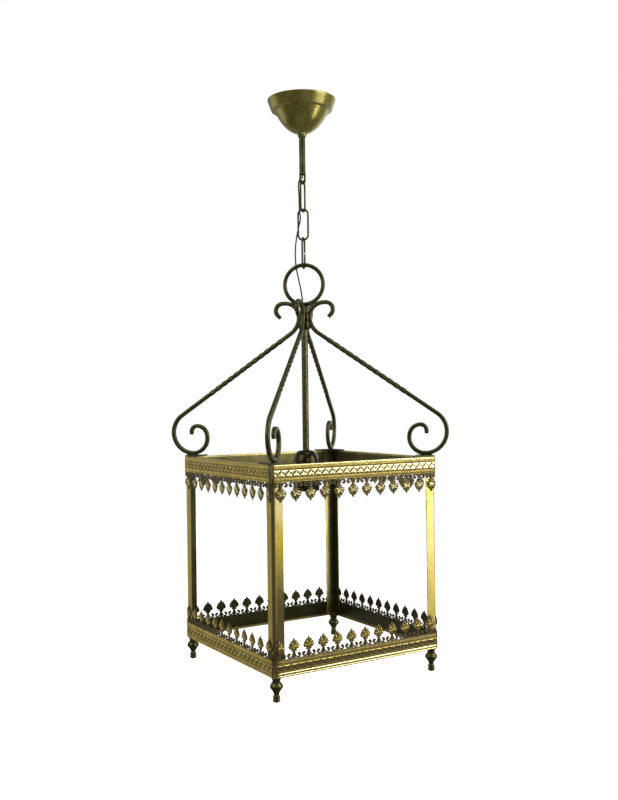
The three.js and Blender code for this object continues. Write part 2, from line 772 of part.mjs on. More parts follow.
// Free route beside the chain, chosen by hand: across to the viewer's right, away from the viewer, and
// height.
const FREE_ROUTE = [
  [0, 0, -115.2],
  [-0.2, -0.4, -117.5],
  [-0.9, -1.9, -120],
  [-2.6, -4.6, -121.8],
  [-5, -6.4, -125.2],
  [-6.2, -5, -131.5],
  [-5.9, -2.9, -140],
  [-5.6, -2.2, -149],
  [-5.5, -2.2, -158],
  [-5.3, -2.4, -167],
  [-4.9, -2.3, -173],
  [-4.2, 0.2, -179],
  [-4.6, 3.4, -185],
  [-6.2, 5.2, -191],
  [-8.8, 5.6, -202],
  [-10.6, 5.2, -212],
  [-12, 4.5, -224],
  [-12.6, 4.3, -235],
  [-12.2, 5.5, -245],
  [-11.5, 8, -255],
  [-9.5, 8.3, -266],
  [-7.2, 7.8, -277],
  [-5, 7.2, -288],
  [-3.2, 6.3, -300],
  [-2, 5.6, -310],
  [-1, 3.6, -316.5],
  [-0.2, 0.8, -320],
  [0, 0, -322.4],
];

function routePoint([right, away, height]) {
  const angle = radians(FLEX_VIEW_ANGLE);
  const x = right * Math.cos(angle) + away * Math.sin(angle);
  const y = away * Math.cos(angle) - right * Math.sin(angle);
  return at(x, y, height);
}

// Part of a longer curve, between two of its fractions of length.
class Stretch extends THREE.Curve {
  constructor(whole, from, to) {
    super();
    this.whole = whole;
    this.from = from;
    this.to = to;
  }

  getPoint(t, target = new THREE.Vector3()) {
    return target.copy(this.whole.getPointAt(this.from + (this.to - this.from) * t));
  }
}

function flexAlong(path) {
  const section = new THREE.Shape();
  for (let i = 0; i < FLEX_SIDES; i += 1) {
    const angle = (2 * Math.PI * i) / FLEX_SIDES;
    const corner = new THREE.Vector2(FLEX_RADIUS * Math.cos(angle), FLEX_RADIUS * Math.sin(angle));
    if (i === 0) section.moveTo(corner.x, corner.y);
    else section.lineTo(corner.x, corner.y);
  }
  const steps = path.isLineCurve3 ? 1 : Math.ceil(path.getLength() / FLEX_STEP);
  return new THREE.ExtrudeGeometry(section, { steps, extrudePath: path, bevelEnabled: false });
}

// The free run is cut level with the middle of each link, so that each length spans one pivot.
function freeFlexRuns() {
  const route = new THREE.CatmullRomCurve3(FREE_ROUTE.map(routePoint), false, "centripetal");
  route.arcLengthDivisions = 800;
  const length = route.getLength();
  const cuts = LINK_ANGLES.map((_, index) => {
    let fraction = 0;
    while (route.getPointAt(fraction).z > linkCentreZ(index)) fraction += FLEX_CUT_STEP;
    return fraction;
  });
  const half = GAP / 2 / length;
  const starts = [0, ...cuts.map((fraction) => fraction + half)];
  const ends = [...cuts.map((fraction) => fraction - half), 1];
  return starts.map((from, index) => flexAlong(new Stretch(route, from, ends[index])));
}

// Bends of the lead, chosen by hand: distance from the axis, and height above the stem's side hole.
const LEAD_BENDS = [
  [15, 6.2],
  [9, 2.6],
  [3.85, 0.2],
  [0.9, -4.6],
  [0, -14],
  [0, -30],
];

// Lead from the terminal block through the side hole and down the stem's bore.
function flexLead() {
  const blockBottom = -PLATE_THICKNESS - GAP - BLOCK_SIZE.z;
  const blockCentre = bossRadius + BLOCK_SPACE + BLOCK_SIZE.x / 2;
  return flexAlong(new THREE.CatmullRomCurve3([
    at(blockCentre, 0, blockBottom - GAP),
    at(blockCentre, 0, blockBottom - LEAD_DROP),
    ...LEAD_BENDS.map(([distance, rise]) => at(distance, 0, rise - SIDE_HOLE_DROP)),
    at(0, 0, GAP / 2 - STEM_DROP),
  ], false, "centripetal"));
}

// Length inside the centre tube, down to the top of the insulator.
function flexDrop() {
  const low = coreTop + GAP;
  const high = routePoint(FREE_ROUTE[FREE_ROUTE.length - 1]).z - GAP;
  return flexAlong(new THREE.LineCurve3(at(0, 0, high), at(0, 0, low)));
}

// Finishes
const brass = { color: 0xb79b55, metalness: 0.85, roughness: 0.45 };
const iron = { color: 0x4a4a2c, metalness: 0.6, roughness: 0.5 };
const lacquer = { color: 0x6b6230, metalness: 0.5, roughness: 0.4 };
const bronze = { color: 0x2a2a14, metalness: 0.6, roughness: 0.25 };
const steel = { color: 0x9b9d9c, metalness: 0.9, roughness: 0.4 };
const ceramic = { color: 0xe6e0d2, metalness: 0, roughness: 0.35 };
const brightBrass = { color: 0xd2b35c, metalness: 0.95, roughness: 0.25 };
const plastic = { color: 0xdedbd0, metalness: 0, roughness: 0.5 };
const flexSheath = { color: 0x151515, metalness: 0, roughness: 0.55 };

// Edges sharper than this stay crisp when a piece is drawn.
const CREASE_ANGLE = 35;

function piece(name, geometry, finish) {
  const creased = toCreasedNormals(weld(geometry), radians(CREASE_ANGLE));
  const mesh = new THREE.Mesh(creased, new THREE.MeshStandardMaterial(finish));
  mesh.name = name;
  return mesh;
}

const lantern = new THREE.Group();

lantern.add(
  piece("ceiling_plate", ceilingPlate(), steel),
  piece("stem", stem(), iron),
  piece("stem_lock_nut", stemLockNut(), steel),
  piece("terminal_block", terminalBlock(), plastic),
  piece("flex_lead", flexLead(), flexSheath),
  piece("ceiling_cup", ceilingCup(), lacquer),
  piece("grub_screw", grub(GRUB_RADIUS, GRUB_LENGTH), steel),
);

LINK_ANGLES.forEach((angle, index) => {
  const link = piece(`link_${"abc"[index]}`, chainLink(LINK_JOINT_GAPS[index]), iron);
  link.position.z = linkCentreZ(index);
  link.rotation.z = radians(angle);
  lantern.add(link);
});

const hangingRing = piece("ring", ring(), iron);
hangingRing.position.z = ringZ;
hangingRing.rotation.z = radians(RING_ANGLE);
lantern.add(hangingRing);

// Quarter turns about the lantern's axis place the copies of each corner and side piece.
const CORNERS = ["back_right", "back_left", "front_left", "front_right"];
const armShape = arm();
const gussetShape = gusset();
const postShape = cornerPost();
const footShape = foot();
CORNERS.forEach((corner, index) => {
  const quarter = new THREE.Group();
  quarter.rotation.z = (index * Math.PI) / 2;
  const scrolledArm = piece(`arm_${corner}`, armShape, iron);
  scrolledArm.rotation.z = radians(ARM_ANGLE);
  quarter.add(
    scrolledArm,
    piece(`gusset_${corner}`, gussetShape, iron),
    piece(`post_${corner}`, postShape, brass),
    piece(`foot_${corner}`, footShape, bronze),
  );
  lantern.add(quarter);
});

const SIDES = ["front", "right", "back", "left"];
const stripShape = strip();
SIDES.forEach((side, index) => {
  const face = new THREE.Group();
  face.rotation.z = (index * Math.PI) / 2;
  face.position.z = bodyCentreZ;
  const upper = piece(`upper_band_${side}`, stripShape, brass);
  const lower = piece(`lower_band_${side}`, stripShape, brass);
  lower.rotation.y = Math.PI;
  face.add(upper, lower);
  lantern.add(face);
});

lantern.add(
  piece("centre_tube", centreTube(), iron),
  piece("tube_nut", tubeNut(), steel),
  piece("holder_cap", holderCap(), bronze),
  piece("holder_shell", holderShell(), bronze),
  piece("holder_core", holderCore(), ceramic),
  piece("screw_shell", screwShell(), brightBrass),
  piece("centre_contact", centreContact(), brightBrass),
  piece("flex_drop", flexDrop(), flexSheath),
);

freeFlexRuns().forEach((run, index) => {
  lantern.add(piece(`flex_run_${index + 1}`, run, flexSheath));
});

export default lantern;
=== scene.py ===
# Square hanging lantern, dressed over its CAD frame. Forms are in millimetres, meshes in metres.
import json
from math import asin, atan2, ceil, cos, degrees, hypot, pi, radians, sin, sqrt

import bmesh
import bpy
from mathutils import Matrix, Vector, noise


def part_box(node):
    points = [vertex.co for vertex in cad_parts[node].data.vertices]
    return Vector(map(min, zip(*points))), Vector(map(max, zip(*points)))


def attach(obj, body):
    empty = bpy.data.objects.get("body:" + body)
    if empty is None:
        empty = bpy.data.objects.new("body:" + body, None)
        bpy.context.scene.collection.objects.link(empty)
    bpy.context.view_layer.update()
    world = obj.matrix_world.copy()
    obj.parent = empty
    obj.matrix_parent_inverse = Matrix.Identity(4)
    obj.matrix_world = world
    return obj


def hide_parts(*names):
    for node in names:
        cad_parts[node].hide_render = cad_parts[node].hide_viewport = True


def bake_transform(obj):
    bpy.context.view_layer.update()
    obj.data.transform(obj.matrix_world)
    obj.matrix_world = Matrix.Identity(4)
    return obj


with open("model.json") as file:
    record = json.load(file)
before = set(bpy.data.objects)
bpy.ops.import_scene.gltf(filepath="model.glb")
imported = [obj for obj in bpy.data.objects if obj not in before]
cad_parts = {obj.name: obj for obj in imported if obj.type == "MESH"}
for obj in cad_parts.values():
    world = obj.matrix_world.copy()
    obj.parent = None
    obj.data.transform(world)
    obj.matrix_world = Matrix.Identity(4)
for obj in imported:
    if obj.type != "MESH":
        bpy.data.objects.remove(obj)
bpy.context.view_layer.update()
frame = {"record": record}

MM = 0.001
GAP = 0.3
PICTURE_HEIGHT = 800

# Camera fitted to the photograph
VIEW_ANGLE = 31.5
CAMERA_DISTANCE = 1444
CAMERA_HEIGHT = -461
CAMERA_YAW = 31.72
CAMERA_PITCH = 0.09
CAMERA_ROLL = -0.74
FOCAL_PIXELS = 946.1

# Sizes that the CAD source names, repeated here
STEM_RADIUS = 4.75
STEM_BORE_RADIUS = 3
STEM_DROP = 115
EYE_WIRE = 3.4
EYE_DROP = 13.1
EYE_LEG_OFFSET = 3.7
EYE_LEG_TUCK = 3
SIDE_HOLE_RADIUS = 3
SIDE_HOLE_DROP = 36.5
PLATE_RADIUS = 30
PLATE_THICKNESS = 3
PLATE_HOLE_EDGE = 7
BOSS_WALL = 2.95
LOCK_NUT_FLATS = 15
GRUB_ANGLE = -115.5
LINK_WIRE = 3
LINK_LENGTH = 49.5
LINK_WIDTH = 18.5
LINK_ANGLES = {"a": 34.5, "b": 135, "c": 45}
LINK_JOINT_GAPS = {"a": 0.4, "b": 0.4, "c": 1.5}
RING_RADIUS = 29.9
RING_ROD = 6
RING_ANGLE = 135
TUBE_RADIUS = 5
TUBE_BORE_RADIUS = 3.5
TUBE_RISE = 9.5
TUBE_NUT_FLATS = 14
BAR = 6
HOOK_RADIUS = 21.5
HOOK_FLAT = 4
HOOK_TIP_RADIUS = 10.8
HOOK_TIP_TURN = 135
HOOK_TIP_LENGTH = 5.5
SHOULDER_RADIUS = 30
SCROLL_INSET = 16.3
SCROLL_DROP = 175.1
SCROLL_RADIUS = 32.3
SCROLL_TURNS = [(23.5, 110), (16.5, 70), (9, 90)]
SCROLL_TIP_LENGTH = 4.5
TWIST_LENGTH = 146
TWIST_START = 17
TWIST_TURNS = 3
HALF_BODY = 140
BODY_HEIGHT = 283
STRIP_THICKNESS = 1.7
LIP_DEPTH = 3
LIP_THICKNESS = 0.9
RAIL_END = 23.5
CORNER_RADIUS = 5
POST_LEG = 16
POST_WALL = 1.5
POST_PAD_THICKNESS = 3
FOOT_INSET = 8.2
SPIGOT_RADIUS = 2
GUSSET_INSET = 1.5
GUSSET_LEG = 37
GUSSET_CLIP = 5
FRIEZE_PITCH = 23.33
FRIEZE_SHIFT = 3
FLEX_RADIUS = 1.1
HOLDER_RADIUS = 20
HOLDER_WALL = 1
HOLDER_TOP_RADIUS = 9
DOME_HEIGHT = 20.5
SOCKET_RADIUS = 13.6
SOCKET_FLANGE_RADIUS = 8

# Sizes of the finer forms
ARC_STEP = 7.5
WIRE_OFFSET = 5
GRUB_DROP = 53.6
# Width beside each post's rounded corner over which painted shade sets in
ARRIS_SHADE = 2.5
RIVET_REACH = 190.5
THREAD_HALF_DEPTH = 0.378

# Sizes that follow from those
NECK_RADIUS = TUBE_RADIUS + GAP + BAR / 2
BODY_INSIDE = HALF_BODY - STRIP_THICKNESS
HALF_HEIGHT = BODY_HEIGHT / 2
FOOT_CENTRE = HALF_BODY - FOOT_INSET

ALONG_X = Matrix.Rotation(pi / 2, 4, "Y")
SLOT_OF = {part["node"]: part["material_slot"] for part in frame["record"]["subparts"]}
BODY_OF = {
    node: body for body, nodes in frame["record"]["behaviour"]["bodies"].items() for node in nodes
}


def millimetres(node):
    low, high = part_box(node)
    return low / MM, high / MM


def heights(node):
    low, high = millimetres(node)
    return low.z, high.z


def mid_height(node):
    return sum(heights(node)) / 2


body_bottom = heights("lower_band_front")[0]
body_centre = (body_bottom + heights("upper_band_front")[1]) / 2


def axis_turn(angle):
    return Matrix.Rotation(radians(angle), 4, "Z")


def shift(x, y, z):
    return Matrix.Translation((x, y, z))


def new_object(name, data):
    thing = bpy.data.objects.new(name, data)
    bpy.context.scene.collection.objects.link(thing)
    return thing


# Camera

def add_camera():
    place = axis_turn(-VIEW_ANGLE) @ Vector((0, -CAMERA_DISTANCE, CAMERA_HEIGHT)) * MM
    raised = Matrix.Rotation(radians(90 + CAMERA_PITCH), 4, "X")
    data = bpy.data.cameras.new("camera")
    data.sensor_width = 36
    data.lens = FOCAL_PIXELS / PICTURE_HEIGHT * data.sensor_width
    camera = new_object("camera", data)
    turn = axis_turn(-CAMERA_YAW) @ raised @ axis_turn(CAMERA_ROLL)
    camera.matrix_world = Matrix.Translation(place) @ turn
    bpy.context.scene.camera = camera


add_camera()


# Forms: each is a list of points in millimetres and a list of faces

def circle(radius, sides):
    angles = [2 * pi * k / sides for k in range(sides)]
    return [(radius * cos(angle), radius * sin(angle)) for angle in angles]


def lathe(outline, segments):
    """Turns (radius, height) points about Z. Points on the axis close the form, others join up."""
    points = []
    rings = []
    for radius, height in outline:
        count = segments if radius > 0 else 1
        rings.append([len(points) + k % count for k in range(segments)])
        points += [Vector((x, y, height)) for x, y in circle(radius, count)]
    pairs = list(zip(rings, rings[1:]))
    if outline[0][0] > 0:
        pairs.append((rings[-1], rings[0]))
    faces = []
    for lower, upper in pairs:
        for k in range(segments):
            beside = (k + 1) % segments
            face = list(dict.fromkeys([lower[k], lower[beside], upper[beside], upper[k]]))
            if len(face) > 2:
                faces.append(face)
    return points, faces


def rod(radius, low, high, sides=24):
    return lathe([(0, low), (radius, low), (radius, high), (0, high)], sides)


def skin(rings, closed=False):
    """Joins rings of points with faces, and caps both ends unless the rings close on themselves."""
    count = len(rings[0])
    points = [point for ring in rings for point in ring]
    faces = []
    for i in range(len(rings) if closed else len(rings) - 1):
        here = i * count
        after = (i + 1) % len(rings) * count
        for k in range(count):
            beside = (k + 1) % count
            faces.append([here + k, here + beside, after + beside, after + k])
    if not closed:
        faces.append(list(range(count)))
        faces.append(list(range(len(points) - count, len(points))))
    return points, faces


def extrude(polygon, low, high):
    return skin([[Vector((x, y, z)) for x, y in polygon] for z in (low, high)])


def block(low, high):
    outline = [(low[0], low[1]), (high[0], low[1]), (high[0], high[1]), (low[0], high[1])]
    return extrude(outline, low[2], high[2])


def moved(form, matrix):
    return [matrix @ point for point in form[0]], form[1]


def merge(*forms):
    points = []
    faces = []
    for form_points, form_faces in forms:
        faces += [[index + len(points) for index in face] for face in form_faces]
        points += form_points
    return points, faces


def tube(path, section, closed=False):
    """Sweeps a section of (across, aside) points along a path with no twist of its own."""
    count = len(path)
    rings = []
    side = None
    for i, point in enumerate(path):
        before = path[i - 1] if i or closed else point
        after = path[(i + 1) % count] if i + 1 < count or closed else point
        tangent = (after - before).normalized()
        if side is None:
            side = tangent.orthogonal()
        side = (side - tangent * side.dot(tangent)).normalized()
        aside = tangent.cross(side)
        rings.append([point + (side * a + aside * b) for a, b in section])
    return skin(rings, closed)


def ease(value):
    value = min(1, max(0, value))
    return value * value * (3 - 2 * value)


def to_mesh(name, form, scale=1.0):
    mesh = bpy.data.meshes.new(name)
    mesh.from_pydata([point * scale for point in form[0]], [], form[1])
    work = bmesh.new()
    work.from_mesh(mesh)
    bmesh.ops.recalc_face_normals(work, faces=work.faces)
    work.to_mesh(mesh)
    work.free()
    return mesh


def combine(operation, *forms):
    """UNION, DIFFERENCE or INTERSECT of closed forms, as a new form."""
    base, *tools = [new_object("scratch", to_mesh("scratch", form)) for form in forms]
    for tool in tools:
        step = base.modifiers.new("step", "BOOLEAN")
        step.operation = operation
        step.solver = "MANIFOLD"
        step.object = tool
    graph = bpy.context.evaluated_depsgraph_get()
    result = bpy.data.meshes.new_from_object(base.evaluated_get(graph))
    points = [vertex.co.copy() for vertex in result.vertices]
    faces = [list(face.vertices) for face in result.polygons]
    for thing in (base, *tools):
        mesh = thing.data
        bpy.data.objects.remove(thing)
        bpy.data.meshes.remove(mesh)
    bpy.data.meshes.remove(result)
    return points, faces


# Bars and wires bent in the XZ plane

def walk(start, moves, step=ARC_STEP):
    """Stations (x, z, heading, twist) along straight and arc moves of (length, turn, twist)."""
    x, z, heading = start
    twist = 0
    stations = [(x, z, heading, twist)]
    for length, turn, turned in moves:
        angle = max(abs(turn), abs(turned) / 1.5)
        steps = max(1, ceil(angle / step))
        for _ in range(steps):
            middle = radians(heading + turn / steps / 2)
            chord = length / steps
            if turn:
                half = radians(turn / steps / 2)
                chord *= sin(half) / half
            x += chord * cos(middle)
            z += chord * sin(middle)
            heading += turn / steps
            twist += turned / steps
            stations.append((x, z, heading, twist))
    return stations


def straight(length):
    return length, 0, 0


def arc(radius, turn):
    return radians(abs(turn)) * radius, turn, 0


def along(stations, section, scales=None):
    """Sweeps a section of (across, aside) points along stations in the XZ plane."""
    rings = []
    for i, (x, z, heading, twist) in enumerate(stations):
        size = scales[i] if scales else 1
        cos_twist, sin_twist = cos(radians(twist)), sin(radians(twist))
        cos_head, sin_head = cos(radians(heading)), sin(radians(heading))
        ring = []
        for a, b in section:
            across = (a * cos_twist - b * sin_twist) * size
            aside = (a * sin_twist + b * cos_twist) * size
            ring.append(Vector((x + across * sin_head, aside, z - across * cos_head)))
        rings.append(ring)
    return skin(rings)


def end_scales(stations, reach, least):
    """Sizes that taper a bar towards least over its last stretch at both ends."""
    path = [0]
    for before, after in zip(stations, stations[1:]):
        path.append(path[-1] + hypot(after[0] - before[0], after[1] - before[1]))
    return [least + (1 - least) * ease(min(s, path[-1] - s) / reach) for s in path]


# Finishes, kept by name
FINISHES = {}


class Tree:
    """Procedural nodes of a material or of the world."""

    def __init__(self, owner):
        owner.use_nodes = True
        self.nodes = owner.node_tree.nodes
        self.links = owner.node_tree.links

    def feed(self, socket, value):
        """Links a source to a socket, or sets the socket to a value. A tuple is a colour."""
        if isinstance(value, bpy.types.NodeSocket):
            self.links.new(value, socket)
        else:
            socket.default_value = (*value, 1.0) if isinstance(value, tuple) else value

    def add(self, kind, inputs, **settings):
        """Makes a node, feeds its inputs and returns its outputs."""
        node = self.nodes.new(f"ShaderNode{kind}")
        for key, value in settings.items():
            setattr(node, key, value)
        for key, value in inputs.items():
            self.feed(node.inputs[key], value)
        return node.outputs

    def spread(self, source, low, high, to_low=0.0, to_high=1.0):
        inputs = {"Value": source, "From Min": low, "From Max": high, "To Min": to_low, "To Max": to_high}
        return self.add("MapRange", inputs, interpolation_type="SMOOTHSTEP")["Result"]


class Finish(Tree):
    """A metal, lacquer or ceramic finish, built up from procedural nodes."""

    def __init__(self, name, **sockets):
        FINISHES[name] = bpy.data.materials.new(name)
        super().__init__(FINISHES[name])
        self.shader = self.nodes["Principled BSDF"]
        self.set(**sockets)
        self.place = self.add("TexCoord", {})["Object"]

    def set(self, **sockets):
        for key, value in sockets.items():
            self.feed(self.shader.inputs[key.replace("_", " ")], value)

    def noise(self, scale, detail=3.0, roughness=0.55):
        inputs = {"Vector": self.place, "Scale": scale, "Detail": detail, "Roughness": roughness}
        return self.add("TexNoise", inputs)["Fac"]

    def wear(self):
        return self.add("Attribute", {}, attribute_name="wear")["Fac"]

    def math(self, operation, first, second):
        return self.add("Math", {0: first, 1: second}, operation=operation)["Value"]

    def mix(self, factor, first, second):
        return self.add("Mix", {"Factor": factor, 6: first, 7: second}, data_type="RGBA")[2]

    def ramp(self, source, *stops):
        node = self.nodes.new("ShaderNodeValToRGB")
        elements = node.color_ramp.elements
        while len(elements) < len(stops):
            elements.new(1.0)
        for element, (position, colour) in zip(elements, stops):
            element.position = position
            element.color = (*colour, 1.0)
        self.feed(node.inputs["Fac"], source)
        return node.outputs["Color"]

    def surface(self, colour, roughness, height, distance, strength=0.5):
        """Feeds the shader its colour, its roughness and a bump of a height over a distance in metres."""
        bump = self.add("Bump", {"Strength": strength, "Distance": distance, "Height": height})
        self.set(Base_Color=colour, Roughness=roughness, Normal=bump["Normal"])


def iron_finish():
    finish = Finish("olive_iron", Metallic=0.85)
    grain = finish.noise(1400)
    base = finish.ramp(
        finish.noise(90, 4),
        (0.3, (0.034, 0.034, 0.011)), (0.55, (0.062, 0.061, 0.022)), (0.75, (0.096, 0.092, 0.036)),
    )
    worn = finish.math("MULTIPLY", finish.wear(), finish.spread(finish.noise(260, 4), 0.35, 0.65))
    colour = finish.mix(worn, base, (0.14, 0.13, 0.056))
    finish.surface(colour, finish.spread(grain, 0.25, 0.75, 0.34, 0.5), grain, 0.00012)


def brass_finish(name, light, mid, dark, patina, soil):
    """Antiqued brass. The attribute of wear and painted light runs from matt patina in recesses to pale
    polished relief; on the strips and posts it also carries painted shade and painted highlights.
    """
    finish = Finish(name, Coat_Weight=0.2, Coat_Roughness=0.26)
    speck = finish.noise(520, 4, 0.65)
    tone = finish.ramp(finish.noise(60, 5, 0.6), (0.28, dark), (0.5, mid), (0.72, light))
    tone = finish.mix(finish.spread(speck, 0.52, 0.7, 0.0, soil), tone, patina)
    wear = finish.math("ADD", finish.wear(), finish.spread(speck, 0.2, 0.8, 0.3 * soil, -0.3 * soil))
    tone = finish.mix(finish.spread(wear, 0.58, 0.92), tone, (0.79, 0.72, 0.39))
    bright = finish.spread(wear, 0.12, 0.75)
    finish.set(Metallic=finish.spread(bright, 0, 1, 0.4, 0.95))
    polish = finish.spread(wear, 0.5, 1.0, 0.5, 0.24)
    polish = finish.math("ADD", polish, finish.spread(speck, 0.3, 0.75, -0.03, 0.06))
    finish.surface(finish.mix(bright, patina, tone), polish, finish.noise(850), 0.00012)


def inner_finish():
    """Inside faces: nearly black patina where the attribute of wear and painted light is 0, and bare brass
    where it is 1; on inside faces the high values are painted highlights and a painted reflection.
    """
    finish = Finish("inner_patina", Metallic=0.85)
    patch = finish.noise(60, 5, 0.6)
    dark = finish.ramp(patch, (0.3, (0.014, 0.015, 0.004)), (0.75, (0.036, 0.034, 0.009)))
    warm = finish.ramp(patch, (0.3, (0.46, 0.38, 0.11)), (0.75, (0.78, 0.67, 0.30)))
    gloss = finish.spread(finish.noise(700), 0.3, 0.7, 0.3, 0.42)
    finish.surface(finish.mix(finish.wear(), dark, warm), gloss, finish.noise(900), 0.00012)


def lacquer_finish():
    finish = Finish("cup_lacquer", Metallic=0.8, Coat_Weight=0.12, Coat_Roughness=0.2)
    speck = finish.noise(620, 4, 0.6)
    base = finish.ramp(
        finish.noise(55, 5, 0.6),
        (0.3, (0.17, 0.145, 0.028)), (0.5, (0.25, 0.215, 0.050)), (0.72, (0.33, 0.285, 0.080)),
    )
    colour = finish.mix(finish.spread(speck, 0.48, 0.66, 0, 0.75), base, (0.050, 0.045, 0.010))
    finish.surface(colour, finish.spread(speck, 0.25, 0.75, 0.22, 0.36), speck, 0.00008, 0.35)


def plain_finish(name, low, high, rough, scale, fine, grain, bump=(0.00006, 0.4), **sockets):
    """A finish with soft tone and gloss changes and a fine grain, each with the scale of its noise."""
    finish = Finish(name, **sockets)
    colour = finish.ramp(finish.noise(scale, 4), (0.32, low), (0.7, high))
    gloss = finish.spread(finish.noise(fine), 0.3, 0.7, *rough)
    finish.surface(colour, gloss, finish.noise(grain, 2), *bump)


def add_finishes():
    iron_finish()
    brass_finish(
        "aged_brass", (0.77, 0.60, 0.13), (0.64, 0.475, 0.075), (0.43, 0.305, 0.032),
        (0.060, 0.042, 0.004), 0.5,
    )
    brass_finish(
        "post_brass", (0.66, 0.515, 0.11), (0.55, 0.41, 0.058), (0.43, 0.31, 0.032),
        (0.07, 0.051, 0.005), 0.1,
    )
    for name, low, high, rough in (
        ("foot_bronze", (0.035, 0.031, 0.008), (0.12, 0.105, 0.030), (0.2, 0.34)),
        ("holder_bronze", (0.014, 0.013, 0.003), (0.036, 0.033, 0.009), (0.16, 0.26)),
    ):
        plain_finish(name, low, high, rough, 150, 900, 1200, (0.00008, 0.5), Metallic=0.85)
    lacquer_finish()
    plain_finish(
        "zinc_steel", (0.42, 0.43, 0.43), (0.60, 0.61, 0.62), (0.3, 0.46), 260, 1820, 3120, Metallic=0.95,
    )
    plain_finish(
        "porcelain", (0.70, 0.66, 0.57), (0.80, 0.77, 0.69), (0.16, 0.3), 120, 840, 1440, Coat_Weight=0.5,
    )
    plain_finish(
        "bright_brass", (0.66, 0.48, 0.17), (0.80, 0.62, 0.27), (0.18, 0.3), 300, 2100, 3600, Metallic=1.0,
    )
    plain_finish("terminal_plastic", (0.66, 0.64, 0.57), (0.76, 0.74, 0.67), (0.36, 0.5), 200, 1400, 2400)
    plain_finish(
        "black_flex", (0.004, 0.004, 0.004), (0.010, 0.010, 0.009), (0.4, 0.55), 400, 2800, 4800,
        Specular_IOR_Level=0.25,
    )
    inner_finish()


add_finishes()


def piece(name, form, body, slot, nodes=(), smooth=35, wear=None, bevel=0.0, inner=None):
    """Makes a piece that rides on a body. inner tests face normals and centres for the inner patina."""
    mesh = to_mesh(name, form, MM)
    thing = new_object(name, mesh)
    mesh.materials.append(FINISHES[slot])
    if wear:
        mesh.attributes.new("wear", "FLOAT", "POINT").data.foreach_set("value", wear)
    if inner:
        mesh.materials.append(FINISHES["inner_patina"])
        for face in mesh.polygons:
            face.material_index = int(inner(face.normal, face.center / MM))
    mesh.shade_smooth()
    mesh.set_sharp_from_angle(angle=radians(smooth))
    if bevel:
        edge = thing.modifiers.new("edge", "BEVEL")
        edge.width = bevel * MM
        edge.segments = 2
        edge.angle_limit = radians(40)
        edge.harden_normals = True
    if body:
        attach(thing, body)
    if nodes:
        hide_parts(*nodes)
    return thing


def dress(node, form, **looks):
    """Makes the piece that stands for a CAD node, on the body and in the slot that the record names."""
    piece(f"{node}_form", form, BODY_OF[node], SLOT_OF[node], [node], **looks)


# Flex. The free route repeats the points of the CAD source: right, away and height.
FREE_ROUTE = [
    (0, 0, -115.2), (-0.2, -0.4, -117.5), (-0.9, -1.9, -120), (-2.6, -4.6, -121.8), (-5, -6.4, -125.2),
    (-6.2, -5, -131.5), (-5.9, -2.9, -140), (-5.6, -2.2, -149), (-5.5, -2.2, -158), (-5.3, -2.4, -167),
    (-4.9, -2.3, -173), (-4.2, 0.2, -179), (-4.6, 3.4, -185), (-6.2, 5.2, -191), (-8.8, 5.6, -202),
    (-10.6, 5.2, -212), (-12, 4.5, -224), (-12.6, 4.3, -235), (-12.2, 5.5, -245), (-11.5, 8, -255),
    (-9.5, 8.3, -266), (-7.2, 7.8, -277), (-5, 7.2, -288), (-3.2, 6.3, -300), (-2, 5.6, -310),
    (-1, 3.6, -316.5), (-0.2, 0.8, -320), (0, 0, -322.4),
]
LEAD_BENDS = [(15, 6.2), (9, 2.6), (3.85, 0.2), (0.9, -4.6), (0, -14), (0, -30)]


def centripetal(points, spacing):
    """Points about every spacing along a centripetal Catmull-Rom curve."""
    ends = [2 * points[0] - points[1], *points, 2 * points[-1] - points[-2]]
    path = [points[0]]
    for p0, p1, p2, p3 in zip(ends, ends[1:], ends[2:], ends[3:]):
        d0, d1, d2 = (sqrt((b - a).length) for a, b in ((p0, p1), (p1, p2), (p2, p3)))
        t1 = ((p1 - p0) / d0 - (p2 - p0) / (d0 + d1) + (p2 - p1) / d1) * d1
        t2 = ((p2 - p1) / d1 - (p3 - p1) / (d1 + d2) + (p3 - p2) / d2) * d1
        steps = max(2, round((p2 - p1).length / spacing))
        for i in range(1, steps + 1):
            t = i / steps
            cubic = 2 * p1 - 2 * p2 + t1 + t2
            square = -3 * p1 + 3 * p2 - 2 * t1 - t2
            path.append(cubic * t ** 3 + square * t ** 2 + t1 * t + p1)
    return path


def cut_at(path, height):
    """Splits a falling path where it passes a height."""
    i = next(k for k, point in enumerate(path) if point.z < height)
    above, below = path[i - 1], path[i]
    middle = above.lerp(below, (above.z - height) / (above.z - below.z))
    return [*path[:i], middle], [middle, *path[i:]]


def add_flex():
    c, s = cos(radians(VIEW_ANGLE)), sin(radians(VIEW_ANGLE))
    free = [Vector((x * c + y * s, y * c - x * s, z)) for x, y, z in FREE_ROUTE]
    route = centripetal(free, 1.2)
    runs = []
    for letter in LINK_ANGLES:
        run, route = cut_at(route, mid_height(f"link_{letter}"))
        runs.append(run)
    runs.append(route)
    section = circle(FLEX_RADIUS, 12)
    for i, run in enumerate(runs):
        thing = piece(f"flex_{i + 1}", tube(run, section), None, "black_flex", [f"flex_run_{i + 1}"])
        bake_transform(thing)
    low, high = millimetres("terminal_block")
    across = (low.x + high.x) / 2
    lead = [Vector((across, 0, low.z - GAP)), Vector((across, 0, low.z - 6))]
    lead += [Vector((distance, 0, rise - SIDE_HOLE_DROP)) for distance, rise in LEAD_BENDS]
    lead.append(Vector((0, 0, GAP / 2 - STEM_DROP)))
    piece("flex_in_stem", tube(centripetal(lead, 1.5), section), "mount", "black_flex", ["flex_lead"])
    drop = [Vector((0, 0, z)) for z in reversed(heights("flex_drop"))]
    piece("flex_in_tube", tube(drop, section), "lantern", "black_flex", ["flex_drop"])


add_flex()


# Ceiling parts

